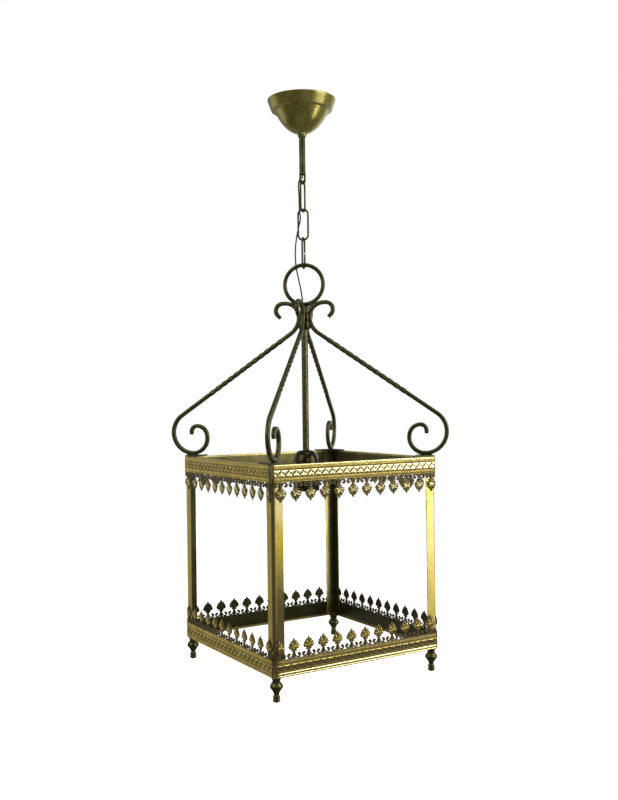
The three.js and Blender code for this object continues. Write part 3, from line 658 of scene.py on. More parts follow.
def nut(node, flats, bore):
    """Hexagon nut with turned chamfers and a chamfered bore, in the heights of its node."""
    low, high = heights(node)
    corner = flats / sqrt(3)
    body = lathe([
        (0, low), (flats / 2 - 0.2, low), (corner + 0.05, low + 0.5),
        (corner + 0.05, high - 0.5), (flats / 2 - 0.2, high), (0, high),
    ], 48)
    hole = lathe([
        (0, low - 1), (bore + 1.4, low - 1), (bore, low + 0.4),
        (bore, high - 0.4), (bore + 1.4, high + 1), (0, high + 1),
    ], 32)
    sides = extrude(circle(corner, 6), low - 1, high + 1)
    return combine("DIFFERENCE", combine("INTERSECT", body, sides), hole)


def add_ceiling_parts():
    low, high = heights("ceiling_plate")
    under = high - PLATE_THICKNESS
    bore = STEM_RADIUS + GAP
    boss = bore + BOSS_WALL
    plate = lathe([
        (0, under), (bore, under), (bore, low + 0.4), (bore + 0.4, low), (boss - 0.5, low),
        (boss, low + 0.5), (boss, under - 0.8), (boss + 0.8, under), (PLATE_RADIUS - 0.6, under),
        (PLATE_RADIUS, under + 0.6), (PLATE_RADIUS, high - 0.4), (PLATE_RADIUS - 0.4, high), (0, high),
    ], 64)
    hole = lathe([(0, under - 1), (4.1, under - 1), (2.5, under + 1), (2.5, high + 1), (0, high + 1)], 24)
    holes = [moved(hole, shift(0, side * (PLATE_RADIUS - PLATE_HOLE_EDGE), 0)) for side in (-1, 1)]
    dress("ceiling_plate", combine("DIFFERENCE", plate, *holes))
    lock_nut = nut("stem_lock_nut", LOCK_NUT_FLATS, bore)
    piece("lock_nut_form", lock_nut, "mount", "zinc_steel", ["stem_lock_nut"])

    low, high = millimetres("terminal_block")
    places = []
    cuts = []
    for side in (-1, 1):
        places.append(shift(high.x, side * WIRE_OFFSET, (low.z + high.z) / 2 - 1) @ ALONG_X)
        cuts.append(moved(rod(2.4, -3, 0.5, 20), places[-1]))
        funnel = lathe([(0, -0.5), (2.3, -0.5), (1.6, 3), (0, 3)], 16)
        cuts.append(moved(funnel, shift((low.x + high.x) / 2, side * WIRE_OFFSET, low.z)))
    cuts.append(block((low.x - 1, -0.5, low.z + 2.5), (low.x + 1.2, 0.5, high.z - 2)))
    cuts.append(block((high.x - 1.2, -0.5, low.z + 2.5), (high.x + 1, 0.5, high.z - 2)))
    dress("terminal_block", combine("DIFFERENCE", block(low, high), *cuts), bevel=0.5)
    head = lathe([(0, -2.6), (2.1, -2.6), (2.1, -1.1), (1.7, -0.8), (0, -0.8)], 20)
    screw = combine("DIFFERENCE", head, block((-2.5, -0.35, -1.3), (2.5, 0.35, 0)))
    for name, place in zip(("front", "back"), places):
        piece(f"terminal_screw_{name}", moved(screw, place), "mount", "zinc_steel")


def add_stem():
    bottom, top = -STEM_DROP, heights("stem")[1]
    threads = []
    for k in range(14):
        z = top - 1 - k
        threads += [(STEM_RADIUS, z), (STEM_RADIUS - 0.3, z - 0.5)]
    shell = lathe([
        (STEM_BORE_RADIUS, bottom), (STEM_BORE_RADIUS, top), (STEM_RADIUS - 0.4, top),
        (STEM_RADIUS, top - 0.4), *threads, (STEM_RADIUS, top - 15.2),
        (STEM_RADIUS, bottom + 0.5), (STEM_RADIUS - 0.5, bottom),
    ], 40)
    leg = straight(EYE_DROP + EYE_LEG_TUCK - EYE_LEG_OFFSET)
    start = (-EYE_LEG_OFFSET, EYE_LEG_TUCK - STEM_DROP, -90)
    eye = along(walk(start, [leg, arc(EYE_LEG_OFFSET, 180), leg], 12), circle(EYE_WIRE / 2, 20))
    eye = moved(eye, axis_turn(LINK_ANGLES["a"] + 90))
    bore = rod(STEM_BORE_RADIUS, bottom - 5, 0, 40)
    side = moved(rod(SIDE_HOLE_RADIUS, 0, 2 * STEM_RADIUS), shift(0, 0, -SIDE_HOLE_DROP) @ ALONG_X)
    dress("stem", combine("DIFFERENCE", combine("UNION", shell, eye), bore, side), smooth=32)


def bezier(points, steps):
    a, b, c = (Vector(point) for point in points)
    ts = [i / steps for i in range(steps + 1)]
    return [tuple(a * (1 - t) ** 2 + b * (2 * t * (1 - t)) + c * t * t) for t in ts]


def cup_outline(inset, steps):
    rim, skirt_end = -1, -17 + inset
    bowl_start = skirt_end - 1.5
    crease = -35 + inset / 2
    neck = -51.5 + inset
    curves = [
        [(52, rim - 1), (49.5, (rim + skirt_end) / 2), (46.5, skirt_end)],
        [(41, bowl_start), (37, (bowl_start + crease) / 2), (31, crease)],
        [(30.4, crease - 0.8), (20.5, neck + 3), (8.5, neck)],
    ]
    return [(x - inset, z) for curve in curves for x, z in bezier(curve, steps)]


def add_cup():
    bore = STEM_RADIUS + GAP
    collar = [(2.6, -52.6), (2.2, -53.4), (0.9, -57.2), (0.6, -57.5), (0, -57.5), (0, -50.5)]
    collar = [(bore + wall, z) for wall, z in collar]
    rim = [(51, -1.4), (51.15, -0.95), (51.5, -0.8), (51.85, -0.95), (52, -1.4)]
    shell = lathe([*cup_outline(0, 10)[1:], *collar, *cup_outline(1, 4)[::-1], *rim], 96)
    sideways = axis_turn(GRUB_ANGLE) @ shift(bore, 0, -GRUB_DROP) @ ALONG_X
    hole = moved(rod(1.8, -4, 10, 20), sideways)
    dress("ceiling_cup", combine("DIFFERENCE", shell, hole), smooth=28)
    head = lathe([(0, 0.02), (1.1, 0.02), (1.5, 0.4), (1.5, 3.2), (1.15, 3.58), (0, 3.58)], 24)
    slot = block((-2, -0.28, 2.9), (2, 0.28, 4))
    dress("grub_screw", moved(combine("DIFFERENCE", head, slot), sideways))


add_ceiling_parts()
add_stem()
add_cup()


# Chain and ring

def add_chain():
    bend_radius = (LINK_WIDTH - LINK_WIRE) / 2
    side = LINK_LENGTH - LINK_WIDTH
    for letter, angle in LINK_ANGLES.items():
        node = f"link_{letter}"
        gap = LINK_JOINT_GAPS[letter]
        half_side = straight((side - gap) / 2)
        moves = [half_side, arc(bend_radius, 180), straight(side), arc(bend_radius, 180), half_side]
        stations = walk((bend_radius, gap / 2, 90), moves)
        form = along(stations, circle(LINK_WIRE / 2, 18), end_scales(stations, 0.4, 0.88))
        dress(node, moved(form, shift(0, 0, mid_height(node)) @ axis_turn(angle)))
    loop = [Vector((x, 0, z)) for x, z in circle(RING_RADIUS, 96)]
    form = tube(loop, circle(RING_ROD / 2, 20), closed=True)
    dress("ring", moved(form, shift(0, 0, mid_height("ring")) @ axis_turn(RING_ANGLE)))


# Arms

CHAMFER = 0.75
HALF_BAR = BAR / 2
BAR_SECTION = []
for quarter in range(4):
    for a, b in ((HALF_BAR, 0), (HALF_BAR, HALF_BAR - CHAMFER), (HALF_BAR - CHAMFER, HALF_BAR)):
        for _ in range(quarter):
            a, b = -b, a
        BAR_SECTION.append((a, b))

CORNERS = ["back_right", "back_left", "front_left", "front_right"]
hook_height = heights("centre_tube")[1] - TUBE_RISE
scroll_reach = HALF_BODY * sqrt(2) - SCROLL_INSET


def arm_stations():
    dx = scroll_reach - NECK_RADIUS - SHOULDER_RADIUS
    distance = hypot(dx, SCROLL_DROP)
    lean = asin((SHOULDER_RADIUS + SCROLL_RADIUS) / distance)
    heading = degrees(atan2(-SCROLL_DROP, dx) + lean)
    run = distance * cos(lean)
    hook = walk((NECK_RADIUS, hook_height, 90), [
        arc(HOOK_RADIUS, -90),
        straight(HOOK_FLAT),
        arc(HOOK_TIP_RADIUS, -HOOK_TIP_TURN),
        straight(HOOK_TIP_LENGTH),
    ])
    upward = [(x, z, angle + 180, twist) for x, z, angle, twist in hook[:0:-1]]
    downward = walk((NECK_RADIUS, hook_height, -90), [
        arc(SHOULDER_RADIUS, 90 + heading),
        straight(TWIST_START),
        (TWIST_LENGTH, 0, 360 * TWIST_TURNS),
        straight(run - TWIST_START - TWIST_LENGTH),
        arc(SCROLL_RADIUS, -180 - heading),
        *[arc(radius, -turn) for radius, turn in SCROLL_TURNS],
        straight(SCROLL_TIP_LENGTH),
    ])
    return upward + downward


def add_arms():
    stations = arm_stations()
    form = along(stations, BAR_SECTION, end_scales(stations, 0.6, 0.84))
    wear = [1.0 if k % 3 else 0.0 for k in range(len(form[0]))]
    for index, corner in enumerate(CORNERS):
        dress(f"arm_{corner}", moved(form, axis_turn(45 + 90 * index)), smooth=50, wear=wear)


def bead(centre, half, seed, turn):
    """Lumpy weld bead as an ellipsoid with half sizes, turned about the lantern's axis."""
    rows, sides = 8, 14
    outline = [(sin(pi * i / rows), -cos(pi * i / rows)) for i in range(1, rows)]
    points, faces = lathe([(0, -1), *outline, (0, 1)], sides)
    place = axis_turn(turn) @ Matrix.Translation(centre)
    lumps = []
    for point in points:
        lump = 1 + 0.16 * noise.noise(point * 2.2 + Vector((seed, 0, 0)))
        lumps.append(place @ Vector([p * h * lump for p, h in zip(point, half)]))
    return lumps, faces


def add_welds():
    """Beads down the arms and the tube, lumps in the corners between arms, and the ring's seats."""
    beads = []
    for index in range(4):
        for k, z in enumerate((6, -1, -9, -16)):
            for side in (-1, 1):
                centre = (TUBE_RADIUS + 0.1, side * 2.4, hook_height + z)
                beads.append(bead(centre, (1.4, 1.3, 3.9), index * 7 + k * 3 + side, 45 + 90 * index))
        for k, z in enumerate((-1, -12)):
            centre = (NECK_RADIUS - 0.9, 0, hook_height + z)
            beads.append(bead(centre, (3.1, 3.5, 8), index * 5 + k, 90 * index))
    hook = Vector((NECK_RADIUS + HOOK_RADIUS, hook_height))
    middle = Vector((0, mid_height("ring")))
    seat = middle + (hook - middle).normalized() * (RING_RADIUS + RING_ROD / 2)
    for side in (-1, 1):
        for depth in (-1, 1):
            centre = (side * seat.x, depth * 1.5, seat.y)
            beads.append(bead(centre, (4.4, 2.3, 2.2), side * 5 + depth, RING_ANGLE))
            centre = (side * (seat.x - 4.5), depth * 1.5, seat.y - 3.2)
            beads.append(bead(centre, (2.9, 2.1, 2.6), side * 9 + depth, RING_ANGLE))
    piece("crown_welds", merge(*beads), "lantern", "olive_iron")


def add_gussets():
    low, high = heights("gusset_front_left")
    near = HALF_BODY - GUSSET_INSET
    far, clip = near - GUSSET_LEG, near - GUSSET_CLIP
    plate = extrude([(near, near), (far, near), (far, clip), (clip, far), (near, far)], low, high)
    rivet = lathe([(0, 0), (2.7, 0), (2.6, 0.5), (2.0, 1.1), (1.0, 1.4), (0, 1.5)], 20)
    rivet = moved(rivet, Matrix.Translation(axis_turn(45) @ Vector((RIVET_REACH, 0, high - 0.05))))
    for index, name in enumerate(CORNERS):
        turn = axis_turn(90 * index)
        dress(f"gusset_{name}", moved(plate, turn), bevel=0.35)
        beads = []
        for side in (-1, 1):
            centre = (scroll_reach, side * 3.1, high + 0.5)
            beads.append(bead(centre, (6.5, 1.1, 1.0), index * 3 + side, 45))
        piece(f"gusset_{name}_rivet", moved(merge(*beads, rivet), turn), "lantern", "olive_iron")


add_chain()
add_arms()
add_welds()
add_gussets()


# Cage

def corner_arc(centre, radius, start, steps=8):
    angles = [radians(start + 90 * i / steps) for i in range(steps + 1)]
    return [(centre[0] + radius * cos(a), centre[1] + radius * sin(a)) for a in angles]


def add_posts():
    low, high = heights("post_front_left")
    face = BODY_INSIDE - GAP
    inner, web = face - POST_LEG, face - POST_WALL
    round_centre = HALF_BODY - CORNER_RADIUS
    round_radius = face - round_centre
    angle = extrude([
        (face, inner), (face - 0.02, round_centre - ARRIS_SHADE),
        *corner_arc((round_centre, round_centre), round_radius, 0),
        (round_centre - ARRIS_SHADE, face - 0.02), (inner, face),
        (inner, web), (inner + 4.5, web - 0.02),
        *corner_arc((round_centre, round_centre), round_radius - POST_WALL, 0)[::-1], (web, inner),
    ], low, high)
    pad = block((inner, inner, low), (face - 1, face - 1, low + POST_PAD_THICKNESS))
    hole = moved(rod(SPIGOT_RADIUS + GAP, low - 2, low + 8), shift(FOOT_CENTRE, FOOT_CENTRE, 0))
    form = combine("DIFFERENCE", combine("UNION", angle, pad), hole)

    def post_wear(point, turned, name):
        """Wear and painted light at a point of the form, by its place there and by the side that it is
        turned to: painted shade at the corners and on the sides turned to X, a painted reflection inside
        the back right post, and the front left post's sides turned to Y painted lighter at the top and
        darker at the foot.
        """
        front = name == "front_left"
        least, most = sorted(point.xy)
        if most < web + 0.01:
            if name != "back_right" or point.y <= web - 0.1:
                return 0.06
            # The back right post's inside face gets a painted reflection near its free edge, fading to
            # painted shade towards its corner.
            return 0.8 if point.x < inner + 1 else 0.4 if point.x < inner + 6 else 0.06
        # Painted shade along the rounded corner, darkest on the front left post, where it stands for the
        # shadow of the arm's scroll.
        if least > round_centre + 0.3:
            return 0.02 if front else 0.15
        if front and least > round_centre - 0.3:
            return 0.1
        # Sides turned to X are darker than sides turned to Y, as painted shade.
        if abs(turned.x) > abs(turned.y):
            return 0.5
        # The front left post is painted lighter at the top and darker at the foot, as painted light and
        # shade.
        if front:
            return -0.3 if turned.z < (low + high) / 2 else 1.05
        return 0.67

    def facing_in(normal, middle):
        return normal.x * middle.x + normal.y * middle.y < -1

    for index, name in enumerate(CORNERS):
        turned = moved(form, axis_turn(90 * index))
        wear = [post_wear(point, placed, name) for point, placed in zip(form[0], turned[0])]
        dress(f"post_{name}", turned, wear=wear, inner=facing_in)


FOOT_PROFILE = [
    (6.8, 0), (6.8, 1.2), (6.1, 1.7), (5.7, 3.2), (5.3, 5.6), (5.5, 6.5), (6.6, 6.9), (7.8, 9),
    (8.8, 10.4), (9.1, 12), (8.8, 13.6), (7.8, 15), (6.9, 15.6), (6.5, 16.4), (5.7, 17.7), (4.6, 19.6),
    (3.8, 21.4), (3.4, 22.6), (3.7, 23.6), (4.8, 24.6), (5.2, 25.6), (4.9, 26.6), (4.2, 27.6), (4.2, 28.2),
    (5.1, 29.2), (5.3, 30.4), (4.9, 31.7), (3.7, 32.8), (2.5, 33.4), (1.3, 33.7),
]


def add_feet():
    top = body_bottom - GAP
    low, high = heights("foot_front_left")
    spigot = [(0, high), (SPIGOT_RADIUS - 0.3, high), (SPIGOT_RADIUS, high - 0.3), (SPIGOT_RADIUS, top)]
    foot = lathe([*spigot, *[(radius, top - drop) for radius, drop in FOOT_PROFILE], (0, low)], 40)
    form = moved(foot, shift(FOOT_CENTRE, FOOT_CENTRE, 0))
    for index, name in enumerate(CORNERS):
        dress(f"foot_{name}", moved(form, axis_turn(90 * index)), smooth=40)


# Pierced strips. A profile point is a depth from the outer edge and a rise out of the face.
PROFILE_ABOVE = [
    (0, -0.45), (0.15, -0.15), (0.5, 0), (1.8, 0), (2.15, -0.2), (2.5, -0.6), (2.85, -0.2), (3.1, 0.02),
    (3.7, 0.22), (4.5, 0.3), (5.3, 0.22), (5.9, 0), (6.2, -0.35), (6.5, -0.8),
]
PROFILE_BELOW = [
    (17.0, -0.8), (17.3, -0.3), (17.7, 0.05), (18.5, 0.28), (19.6, 0.36), (20.7, 0.28), (21.5, 0.05),
    (21.9, -0.4), (22.3, -0.1), (22.9, 0.05), (23.3, -0.1), (23.5, -0.4),
]
ZONE_START, ZONE_END = 6.85, 16.65
ZONE_CENTRE = 11.75
ZONE_RISE = -0.8
ZONE_ROWS = 16
ROPE_PITCH = 3.9
ROPE_RISE = 0.07
RIBBON_PITCH = FRIEZE_PITCH / 2
STROKE_HALF = Vector((2.9, 2.6))
COLUMNS = 336
# Depth of the strip's inside edge band, which carries a painted highlight
PAINTED_HIGHLIGHT_EDGE = 2.6


def ribbon_rise(x, height):
    """Rise of the twisted ribbon above the recess: a band with slanted slots and a dot between them."""
    u = (x / RIBBON_PITCH) % 1 * RIBBON_PITCH
    u = u - RIBBON_PITCH if u > RIBBON_PITCH / 2 else u
    point = Vector((u, height))
    t = min(1, max(-1, point.dot(STROKE_HALF) / STROKE_HALF.length_squared))
    slot = ease((1.65 - (point - STROKE_HALF * t).length) / 0.8)
    dot = ease((1.5 - hypot(abs(u) - RIBBON_PITCH / 2, height)) / 0.7)
    crown = ease((4.75 - abs(height)) / 0.9)
    return 0.85 * crown * (1 - max(slot, dot))


def rail():
    rows = [(depth, rise, None) for depth, rise in PROFILE_ABOVE]
    for k in range(ZONE_ROWS):
        depth = ZONE_START + (ZONE_END - ZONE_START) * k / (ZONE_ROWS - 1)
        rows.append((depth, ZONE_RISE, ZONE_CENTRE - depth))
    rows += [(depth, rise, None) for depth, rise in PROFILE_BELOW]
    low, high = GAP - BODY_INSIDE, HALF_BODY
    rings = []
    for i in range(COLUMNS + 1):
        x = low + (high - low) * i / COLUMNS
        ring = []
        for depth, rise, height in rows:
            if height is not None:
                rise += ribbon_rise(x, height)
            elif rise > 0.1:
                rise += ROPE_RISE * sin(2 * pi * (x + depth) / ROPE_PITCH)
            ring.append(Vector((x, -HALF_BODY - rise, HALF_HEIGHT - depth)))
        # Inner face, with rows at the edge band that carries the painted highlight
        for depth, sunk in ((RAIL_END, 0), (PAINTED_HIGHLIGHT_EDGE + 0.6, 0.02), (PAINTED_HIGHLIGHT_EDGE, 0.02), (0, 0)):
            ring.append(Vector((x, sunk - BODY_INSIDE, HALF_HEIGHT - depth)))
        rings.append(ring)
    return skin(rings)


# Palmette unit: x from its axis, y down from the rail's lower edge, and a rise out of the face
LEAF_CENTRE = 15.2
LEAF_EDGE = [(0, 11.9), (16, 9.5), (43, 8.6), (68, 8.4), (90, 9.1), (106, 8.8), (132, 5.8), (180, 4.2)]
LOBE_ANGLES = [0, 33, 62, 88, 112, 140, 180]
SHEET_BACK = -1.5
VOLUTE = [
    (0.9, 8.2), (1.6, 5.6), (2.6, 3.2), (4.4, 1.5), (6.9, 0.9), (9.2, 2.0), (9.9, 4.1), (8.8, 5.9),
    (6.9, 6.1), (5.7, 4.9),
]


def read_off(table, value):
    for (a, b), (c, d) in zip(table, table[1:]):
        if value <= c:
            return b + (d - b) * (value - a) / (c - a)
    return table[-1][1]


def leaf():
    """Scalloped leaf with a rib to each lobe. Angles run from its tip to its foot."""
    crowns = [(0.14, 1.0), (0.34, 1.0), (0.58, 0.95), (0.76, 0.75), (0.9, 0.25), (1.0, 0.0)]
    steps = 72
    rings = [[] for _ in range(len(crowns) + 1)]
    for k in range(steps):
        angle = -180 + 360 * k / steps
        size = abs(angle)
        place = next(i for i, lobe in enumerate(LOBE_ANGLES[1:]) if size <= lobe)
        share = (size - LOBE_ANGLES[place]) / (LOBE_ANGLES[place + 1] - LOBE_ANGLES[place])
        ridge = abs(cos(pi * share)) ** 1.5
        radius = read_off(LEAF_EDGE, size) * (1 - 0.13 * (1 - ridge))
        across, down = sin(radians(angle)), cos(radians(angle))
        for ring, (part, crown) in zip(rings, crowns):
            rib = 0.04 + 0.96 * ridge if part > 0.3 else 0.75
            rise = -0.85 + crown * (0.1 + 1.6 * rib)
            ring.append(Vector((across * radius * part, rise, LEAF_CENTRE + down * radius * part)))
        rings[-1].append(Vector((across * radius, SHEET_BACK, LEAF_CENTRE + down * radius)))
    return skin(rings)


def flat_bar(path, widths, crown=0.05):
    """Bar with a rounded front along (x, y) points, and a half width at each."""
    section = [(-1, SHEET_BACK), (1, SHEET_BACK), (1, -0.75), (0.5, crown), (-0.5, crown), (-1, -0.75)]
    rings = []
    for i, (x, y) in enumerate(path):
        before, after = path[max(0, i - 1)], path[min(len(path) - 1, i + 1)]
        along_path = Vector((after[0] - before[0], after[1] - before[1])).normalized()
        across = Vector((-along_path.y, along_path.x))
        ring = []
        for side, rise in section:
            offset = across * side * widths[i]
            ring.append(Vector((x + offset.x, rise, y + offset.y)))
        rings.append(ring)
    return skin(rings)


def palmette():
    curve = centripetal([Vector((x, y, 0)) for x, y in VOLUTE], 1.2)
    widths = [0.95 + 0.2 * i / len(curve) for i in range(len(curve))]
    right = [(point.x, point.y) for point in curve]
    left = [(-x, y) for x, y in right]
    neck = [(0, 12.5), (0, 10.6), (0, 8.6), (0, 6), (0, 3), (0, 1), (0, -0.8)]
    neck_widths = [2.4, 2.6, 1.9, 1.5, 1.7, 2.4, 2.9]
    collar = [(-4.6, 9.7), (-3.8, 9.7), (-2.4, 9.8), (0, 9.9), (2.4, 9.8), (3.8, 9.7), (4.6, 9.7)]
    collar_widths = [0.5, 1.05, 0.95, 0.95, 0.95, 1.05, 0.5]
    eye = lathe([(0, SHEET_BACK), (1.3, SHEET_BACK), (1.3, -0.6), (0.9, -0.05), (0, 0.2)], 14)
    outward = Matrix.Rotation(-pi / 2, 4, "X")
    return combine(
        "UNION", leaf(), flat_bar(neck, neck_widths), flat_bar(right, widths, -0.1),
        flat_bar(left, widths, -0.09), flat_bar(collar, collar_widths, 0.1),
        *[moved(eye, shift(side * 7.7, 0, 3.9) @ outward) for side in (-1, 1)],
    )


def strip():
    """Strip for the upper edge of the front side, about the cage's centre."""
    unit = palmette()
    edge = HALF_HEIGHT - RAIL_END
    count = round(2 * HALF_BODY / FRIEZE_PITCH)
    first = FRIEZE_SHIFT - count * FRIEZE_PITCH / 2
    units = []
    for k in range(count):
        centre = first + (k + 0.5) * FRIEZE_PITCH
        units.append(([Vector((centre + p.x, -HALF_BODY - p.y, edge - p.z)) for p in unit[0]], unit[1]))
    limits = block((-HALF_BODY, -HALF_BODY - 5, edge - 60), (HALF_BODY, -HALF_BODY + 5, HALF_HEIGHT))
    comb = combine("INTERSECT", merge(*units), limits)
    end = BODY_INSIDE - LIP_DEPTH - GAP
    lip = block(
        (-end, -BODY_INSIDE - STRIP_THICKNESS / 2, HALF_HEIGHT - LIP_THICKNESS),
        (end, LIP_DEPTH - BODY_INSIDE, HALF_HEIGHT),
    )
    low = -HALF_BODY + CORNER_RADIUS
    outline = [
        *corner_arc((low, low), CORNER_RADIUS, 180, 12),
        (low + 0.8, -HALF_BODY - 1), (-low - 0.8, -HALF_BODY - 1),
        *corner_arc((-low, low), CORNER_RADIUS, 270, 12),
        (HALF_BODY, -100), (-HALF_BODY, -100),
    ]
    corners = extrude(outline, -HALF_HEIGHT - 1, HALF_HEIGHT + 1)
    return combine("INTERSECT", combine("UNION", rail(), comb, lip), corners)


# Where the painted shadow at the near corner ends on each face: a margin and the length of its fade
NEAR_CORNER_SHADOW = {
    ("left", "upper"): (3, 8), ("left", "lower"): (2, 6),
    ("front", "upper"): (2, 4), ("front", "lower"): (3, 8),
}


def band_wear(point, level, side):
    """Wear and painted light at a point of a strip, from 0 in the depths to 1 on the ribbon and the ribs,
    with painted shade at the corners, on the lower band and on the left side, and a painted highlight
    along the top edge.
    """
    upper = level == "upper"
    depth = HALF_HEIGHT - point.z
    rise = -point.y - HALF_BODY
    if rise < -STRIP_THICKNESS / 3:
        # Inside faces: the edge band and lip carry a painted highlight, bright along the top edge and
        # dimmer along the bottom edge, and the lower band's inside is darker as painted shade.
        if depth < PAINTED_HIGHLIGHT_EDGE + 0.1:
            return 0.9 if upper else 0.4
        return 0.17 if upper else 0.03
    # Band ends darken towards every corner as painted shade, over a wider stretch at the near corner as a
    # painted shadow of the arm's scroll.
    margin, fade = 2, 3.5
    if point.x * (-1 if (side == "front") == upper else 1) > 0:
        margin, fade = NEAR_CORNER_SHADOW.get((side, level), (margin, fade))
    corner_shade = ease((HALF_BODY - margin - abs(point.x)) / fade)
    if depth > RAIL_END:
        ribs = ease((rise + 0.15) / 0.8)
        volutes = ease((depth - RAIL_END - 9.2) / 1.5)
        # Ribs are paler on the upper band than on the lower, as painted light and shade.
        bright = 0.84 if upper else 0.58
        return corner_shade * (0.1 + 0.08 * volutes + bright * ribs * volutes)
    wear = ease((rise + 0.78) / 0.78)
    if abs(depth - ZONE_CENTRE) > 5.4:
        line = ease((1.2 - abs(depth - 1.3)) / 0.5)
        outer = ease((ZONE_CENTRE - depth) / 3)
        wear *= 0.37 + 0.5 * line if upper else 0.3 + 0.56 * outer
    # The lower band's ribbon is darkened as painted shade, except along its two edges.
    elif not upper:
        wear *= 0.08 + 0.6 * ease((abs(depth - ZONE_CENTRE) - 2.6) / 1.2)
    # The left side gets an almost even mid tone, with the ribbon a little darker than the recess, as
    # painted light and shade for that side.
    if side == "left":
        wear = 0.56 - 0.1 * wear
    return corner_shade * wear


def add_bands():
    form = strip()
    lower = moved(form, Matrix.Rotation(pi, 4, "Y"))

    def facing_in(normal, middle):
        inside = max(abs(middle.x), abs(middle.y)) < BODY_INSIDE + 0.1
        return normal.x * middle.x + normal.y * middle.y < -60 or inside and abs(normal.z) < 0.5

    for index, side in enumerate(["front", "right", "back", "left"]):
        place = shift(0, 0, body_centre) @ axis_turn(90 * index)
        for level, turned in (("upper", form), ("lower", lower)):
            wear = [band_wear(point, level, side) for point in form[0]]
            dress(f"{level}_band_{side}", moved(turned, place), smooth=42, wear=wear, inner=facing_in)


add_posts()
add_feet()
add_bands()


# Centre tube and lampholder

def add_tube():
    low, high = heights("centre_tube")
    threads = []
    for k in range(12):
        z = low + 0.8 + k
        threads += [(TUBE_RADIUS - 0.3, z), (TUBE_RADIUS, z + 0.5)]
    form = lathe([
        (TUBE_BORE_RADIUS, low), (TUBE_RADIUS - 0.5, low), *threads, (TUBE_RADIUS, high - 0.5),
        (TUBE_RADIUS - 0.4, high), (TUBE_BORE_RADIUS, high),
    ], 40)
    dress("centre_tube", form, smooth=30, wear=[0.9] * len(form[0]))
    dress("tube_nut", nut("tube_nut", TUBE_NUT_FLATS, TUBE_RADIUS + GAP))


def add_holder():
    bore = TUBE_RADIUS + GAP
    outer, inside = HOLDER_RADIUS, HOLDER_RADIUS - HOLDER_WALL
    plug = inside - GAP
    skirt, top = heights("holder_cap")

    def dome(inset, steps):
        start = (HOLDER_TOP_RADIUS, top - inset)
        return bezier([start, (18 - inset, top - 1 - inset), (outer - inset, top - DOME_HEIGHT)], steps)

    dress("holder_cap", lathe([
        (bore, top), (8.2, top), *dome(0, 14), (outer, skirt + 1.6), (outer - 0.3, skirt + 1.1),
        (outer, skirt + 0.6), (outer - 0.2, skirt), (inside, skirt), *dome(HOLDER_WALL, 6)[::-1],
        (bore, top - HOLDER_WALL),
    ], 64), smooth=40)

    low, high = heights("holder_shell")
    joint = skirt - GAP
    grooves = []
    for z in (low + 3.4, low + 5.2):
        grooves += [(outer, z - 0.5), (outer - 0.4, z), (outer, z + 0.5)]
    dress("holder_shell", lathe([
        (outer - 0.6, low), (outer, low + 0.6), *grooves, (outer, joint - 0.3), (outer - 0.3, joint),
        (plug, joint), (plug, high), (plug - 1, high), (plug - 1, joint - 1),
        (inside, joint - 1), (inside, low + 1), (17.2, low + 1), (17.2, low + 0.2), (17.5, low),
    ], 64), smooth=40)

    low, high = heights("holder_core")
    bottom, top = heights("screw_shell")
    well = SOCKET_RADIUS + GAP
    dress("holder_core", lathe([
        (0, top + GAP), (well, top + GAP), (well, low + 1), (well + 0.9, low), (plug - 0.7, low),
        (plug, low + 0.7), (plug, high - 0.7), (plug - 0.7, high), (0, high),
    ], 56), smooth=40)

    rows, sides, pitch, wall = 40, 48, 3.6, 0.55

    def thread(z, inset):
        """Ring of the rolled thread at a height. The thread fades out towards both ends."""
        rolled = ease((top - 2 - z) / 2) * ease((z - bottom) / 1.2)
        ring = []
        for k, (x, y) in enumerate(circle(1, sides)):
            swing = rolled * sin(2 * pi * ((top - z) / pitch - k / sides))
            radius = SOCKET_RADIUS - inset - THREAD_HALF_DEPTH * (1 - swing)
            ring.append(Vector((radius * x, radius * y, z)))
        return ring

    levels = [bottom + (top - bottom) * row / rows for row in range(rows + 1)]
    rings = [thread(z, 0) for z in levels]
    flange = circle(SOCKET_FLANGE_RADIUS, sides)
    rings += [[Vector((x, y, z)) for x, y in flange] for z in (top, top - wall)]
    rings += [thread(z, wall) for z in (top - wall, *levels[-2::-1])]
    dress("screw_shell", skin(rings, closed=True), smooth=60)

    low, high = heights("centre_contact")
    dress("centre_contact", lathe([
        (0, low), (1.5, low), (2.2, low + 0.25), (2.5, low + 0.8), (2.5, high - 1.3),
        (2.9, high - 0.85), (4.2, high - 0.8), (4.5, high - 0.5), (4.5, high), (0, high),
    ], 32), smooth=40)


add_tube()
add_holder()


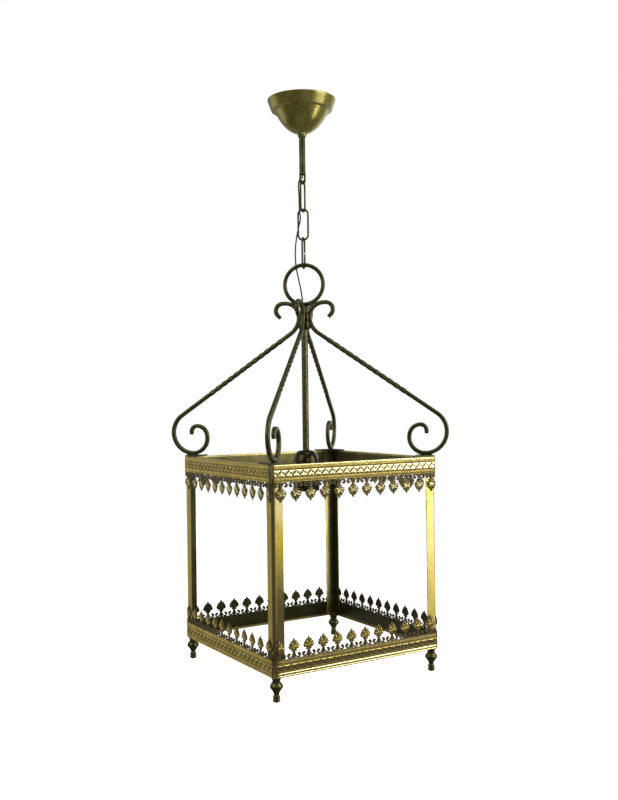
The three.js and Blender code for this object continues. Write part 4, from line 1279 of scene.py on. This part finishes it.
# Stage and light. Softboxes, in metres and watts: name, azimuth, height, distance, size, power and the
# height that they aim at. Azimuth 0 is in front of the -Y side, 90 at +X.
SOFTBOXES = [
    ("key", 35, 0.0, 1.9, (1.2, 1.1), 25, -0.35),
    ("key_low", 50, -1.15, 1.9, (0.4, 0.6), 0.7, -0.7),
    ("under", 45, -0.62, 1.0, (0.16, 0.5), 1.8, -0.03),
    ("left_back", -146, -0.5, 2.2, (1.3, 1.5), 4, -0.6),
    ("left", -85, 0.6, 2.0, (1.6, 1.2), 16, -0.65),
    ("front", -12, 0.2, 2.4, (0.7, 1.0), 5, -0.4),
    ("right_back", 120, -0.2, 2.2, (1.7, 1.6), 7, -0.4),
    ("top", 0, 1.5, 0.5, (1.4, 1.4), 9, -0.5),
]
FLOOR_RADIUS, FLOOR_HEIGHT = 9000, -1700


def add_softbox(name, azimuth, height, distance, size, power, aim):
    data = bpy.data.lights.new(name, "AREA")
    data.shape = "RECTANGLE"
    data.size, data.size_y = size
    data.energy = power
    lamp = new_object(name, data)
    place = axis_turn(azimuth) @ Vector((0, -distance, height))
    turn = (Vector((0, 0, aim)) - place).to_track_quat("-Z", "Y").to_matrix().to_4x4()
    lamp.matrix_world = Matrix.Translation(place) @ turn
    lamp.visible_camera = False


def add_stage():
    scene = bpy.context.scene
    scene.view_settings.view_transform = "Standard"
    scene.world = bpy.data.worlds.new("studio")
    room = Tree(scene.world)
    behind = axis_turn(-VIEW_ANGLE) @ Vector((0, -1, -1.2))
    direction = room.add("TexCoord", {})["Generated"]
    facing = room.add("VectorMath", {0: direction, 1: behind}, operation="DOT_PRODUCT")["Value"]
    walls = room.nodes["Background"]
    room.feed(walls.inputs["Color"], room.spread(facing, -0.3, 0.75, 0.3, 0.03))
    seen = room.add("Background", {"Color": (1, 1, 1)})["Background"]
    rays = room.add("LightPath", {})["Is Camera Ray"]
    blend = room.add("MixShader", {"Fac": rays, 1: walls.outputs["Background"], 2: seen})["Shader"]
    room.feed(room.nodes["World Output"].inputs["Surface"], blend)

    Finish(
        "pale_floor", Base_Color=(0.9, 0.9, 0.89), Roughness=0.9,
        Emission_Color=(1, 1, 1), Emission_Strength=1,
    )
    form = rod(FLOOR_RADIUS, FLOOR_HEIGHT - 50, FLOOR_HEIGHT, 96)
    floor = new_object("floor", to_mesh("floor", form, MM))
    floor.data.materials.append(FINISHES["pale_floor"])
    floor.visible_glossy = False
    for softbox in SOFTBOXES:
        add_softbox(*softbox)


add_stage()
